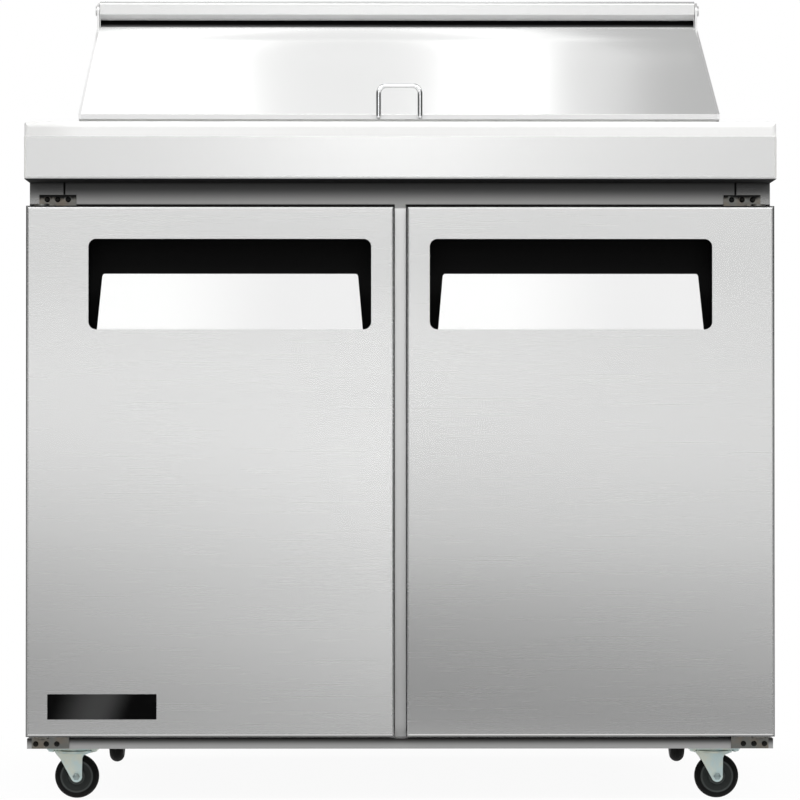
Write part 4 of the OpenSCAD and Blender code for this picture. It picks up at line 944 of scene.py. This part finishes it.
head_tree, size = start_tree("screw_heads", {
    "Sides": int, "Radius": float, "Height": float, "Crown": float, "Cross": bool})
radius, height, crown = size["Radius"], size["Height"], size["Crown"]
flat_top = 0.0002
barrel = radius.node("GeometryNodeMeshCylinder", {}, {
    "Vertices": size["Sides"], "Radius": radius, "Depth": height})
barrel = moved(barrel, Translation=point(0.0, 0.0, height * 0.5))
ball = radius.node("GeometryNodeMeshUVSphere", {}, {
    "Segments": 32, "Rings": 24, "Radius": crown})
ball = moved(ball, Translation=point(0.0, 0.0, height - crown + flat_top))
head = barrel.node("GeometryNodeMeshBoolean", {"operation": "INTERSECT"}, {
    "Mesh 2": [barrel, ball]})
arms = []
for wide, deep, low in ((1.2, 0.26, 1.0), (0.26, 1.2, 0.9)):
    arm = radius.node("GeometryNodeMeshCube", {}, {
        "Size": point(radius * wide, radius * deep, height * low)})
    arms.append(moved(arm, Translation=point(0.0, 0.0, height)))
crossed = head.node("GeometryNodeMeshBoolean", {"operation": "DIFFERENCE"}, {
    "Mesh 1": head, "Mesh 2": arms})
head = head.node("GeometryNodeSwitch", {"input_type": "GEOMETRY"}, {
    "Switch": size["Cross"], "False": head, "True": crossed})
facing = radius.node("GeometryNodeInputNamedAttribute", {"data_type": "FLOAT_VECTOR"}, {
    "Name": "facing"})
turned = radius.node("FunctionNodeAlignRotationToVector", {"axis": "Z"}, {"Vector": facing})
end_tree(repeated(head, size["Shape"], Rotation=turned), size)

bracket_spots = mirrored(
    [(x, -0.3105, 0.7445) for x in (0.439, 0.426, 0.413)]
    + [(x, -0.3435, 0.07025) for x in (0.450, 0.437, 0.424)])
grille_spots = mirrored([(0.373, 0.3725, z) for z in (0.0825, 0.3085)])
pin_spots = mirrored([(0.402, -0.2815, 0.818)])
NARROW, BROAD = (-0.0195, 0.0195), (-0.026, 0.026)
bolt_spots = [
    (x + dx, y + dy, 0.0615) for xs, y, across, along in (
        ((-0.406, 0.390), -0.301, BROAD, NARROW), ((-0.3875, 0.3875), 0.263, NARROW, BROAD))
    for x in xs for dx in across for dy in along]
screws = grow("screws", head_tree, {
    "Finish": screw_steel, "Sides": 24, "Radius": 0.0034, "Height": 0.0018, "Crown": 0.0052,
    "Cross": True}, seats_for("screws", bracket_spots + grille_spots,
                              [(0, -1, 0)] * len(bracket_spots) + [(0, 1, 0)] * len(grille_spots)))
bolts = grow("bolts", head_tree, {
    "Finish": fork_zinc, "Sides": 6, "Radius": 0.0045, "Height": 0.0030, "Crown": 0.0075,
    "Cross": False}, seats_for("bolts", bolt_spots, [(0, 0, -1)] * len(bolt_spots)))
pins = grow("pins", head_tree, {
    "Finish": fork_zinc, "Sides": 24, "Radius": 0.0040, "Height": 0.0088, "Crown": 0.0085,
    "Cross": False}, seats_for("pins", pin_spots, [(0, 0, 1)] * len(pin_spots)))
for heads in (screws, bolts, pins):
    fit(heads, "cabinet", "screw_steel", "fasteners")


# Axle nuts: plated hexagon nuts turned from bar, one on each wheel's axle, that hold it
# on the outside of its fork.
FORK_HALF = 0.0153
nut_zinc = zinc_plate("nut_zinc", (0.30, 0.33, 0.32))
for corner, centre, axle in casters:
    seat = [c + way * FORK_HALF for c, way in zip(centre, axle)]
    nut = grow(corner + "_nut", head_tree, {
        "Finish": nut_zinc, "Sides": 6, "Radius": 0.0046, "Height": 0.0030, "Crown": 0.0072,
        "Cross": False}, seats_for(corner + "_nut", [seat], [axle]))
    fit(nut, corner + "_fork", "fork_zinc")


# Studio: a plain white floor and, round the table, a soft-edged card, darkest in front,
# that the steel sees but the camera doesn't. The room is plain white to the camera and
# shaded for the steel, with softboxes round it all.
def lay(name, paint, reach, height):
    """A round sheet lying flat on the ground."""
    mesh = bpy.data.meshes.new(name)
    ring = bmesh.new()
    bmesh.ops.create_circle(ring, cap_ends=True, cap_tris=False, segments=96, radius=reach,
                            matrix=Matrix.Translation((0.0, 0.0, height)))
    ring.to_mesh(mesh)
    ring.free()
    mesh.materials.append(paint)
    sheet = bpy.data.objects.new(name, mesh)
    scene.collection.objects.link(sheet)
    return sheet


def glow_of(spot, level):
    return spot.node("ShaderNodeEmission", {}, {"Color": rgba(grey(level)), "Strength": 1.0})


def show(material, share, first, second):
    """Shows the first shader where the share is 0 and the second where it is 1."""
    tree = material.node_tree
    mixed = share.node("ShaderNodeMixShader", {}, {0: share, 1: first, 2: second})
    tree.links.new(mixed.socket, tree.nodes["Material Output"].inputs["Surface"])


floor_paint, spot = finish("floor_paint", {
    "Base Color": rgba(grey(1.0)), "Roughness": 0.9, "Specular IOR Level": 0.1})
camera_ray, glossy_ray, clear_ray = (
    spot.node("ShaderNodeLightPath", output=f"Is {kind} Ray")
    for kind in ("Camera", "Glossy", "Transmission"))
away = radius_about(spot, ORIGIN, (1.0, 1.1, 0.0)).step(0.35, 0.95)
bright = (camera_ray + glossy_ray + clear_ray) * (away * 0.06 + 0.94)
matt = Socket(spot.tree, spot.tree.nodes["Principled BSDF"].outputs[0])
show(floor_paint, bright, matt, glow_of(spot, 1.0))
lay("floor", floor_paint, 40.0, 0.0)

card_paint, spot = finish("card_paint", {})
near = axis_part(spot, "Y") * -1.0
side = abs(axis_part(spot, "X"))
before_doors = near.step(0.34, 0.85) * (1 - near.step(2.8, 4.8)) * (1 - side.step(0.9, 2.8))
reach = radius_about(spot, ORIGIN, (1.0, 1.0, 0.0))
all_round = reach.step(0.55, 1.1) * (1 - reach.step(2.6, 4.8)) * 0.5
clear = spot.node("ShaderNodeBsdfTransparent")
show(card_paint, before_doors.at_least(all_round), clear, glow_of(spot, 0.17))
card = lay("card", card_paint, 6.0, 0.0006)
card.visible_camera = card.visible_shadow = False

room = bpy.data.worlds.new("room")
room.use_nodes = True
scene.world = room
tree = room.node_tree
towards = Socket(tree).node("ShaderNodeTexCoord", output="Generated")
height = axis_part(towards, "Z")
ahead = (axis_part(towards, "Y") * -1.0).step(-0.1, 0.5)
aside = abs(axis_part(towards, "X")).step(0.32, 0.58) * (1 - height.step(0.2, 0.5))
behind, before = (
    height.node("ShaderNodeValToRGB", {"stops": stops}, {0: height})
    for stops in (((0.22, 1.0), (0.50, 0.52)), ((0.0, 0.92), (0.35, 1.05), (0.8, 0.6))))
walls = aside.blend(ahead.blend(behind, before), grey(0.05))
seen = towards.node("ShaderNodeLightPath", output="Is Camera Ray")
backdrop = tree.nodes["Background"]
tree.links.new(seen.blend(walls, grey(1.0)).socket, backdrop.inputs["Color"])
backdrop.inputs["Strength"].default_value = 1.0


def softbox(name, place, aim, width, height, power):
    lamp = bpy.data.lights.new(name, "AREA")
    lamp.shape = "RECTANGLE"
    lamp.size = width
    lamp.size_y = height
    lamp.energy = power
    holder = bpy.data.objects.new(name, lamp)
    scene.collection.objects.link(holder)
    holder.location = place
    holder.rotation_euler = (Vector(aim) - Vector(place)).to_track_quat("-Z", "Y").to_euler()


LID_Z, REAR_Y, REAR_Z, REAR_LONG = 0.94, 2.22, 3.02, 1.66
softbox("left_lamp", (-2.3, -2.7, 3.3), (0.0, 0.0, 0.7), 1.4, 1.2, 50.0)
softbox("right_lamp", (2.3, -2.7, 3.3), (0.0, 0.0, 0.7), 1.4, 1.2, 50.0)
softbox("high_lamp", (0.0, -2.5, 2.7), (0.0, -0.36, 0.74), 1.8, 0.7, 8.0)
for place, y, z, long in (("rear", REAR_Y, REAR_Z, REAR_LONG), ("over", 0.74, 3.93, 2.06)):
    for lamp, x, aim_x, wide, power in (
        ("_wash", -0.18, -0.12, 1.0, 1.25),
        ("_left_strip", -0.47, -0.31, 0.36, 0.625),
        ("_right_strip", 0.235, 0.13, 0.22, 0.47),
    ):
        softbox(place + lamp, (x, y, z), (aim_x, 0.0, LID_Z), wide, long, power * long)
softbox("rear_fade", (0.435, REAR_Y, REAR_Z), (0.24, 0.0, LID_Z), 0.15, REAR_LONG, 0.22)
softbox("front_lamp", (0.03, -5.4, 1.3), (0.0, 0.0, 0.8), 0.4, 0.25, 1.4)
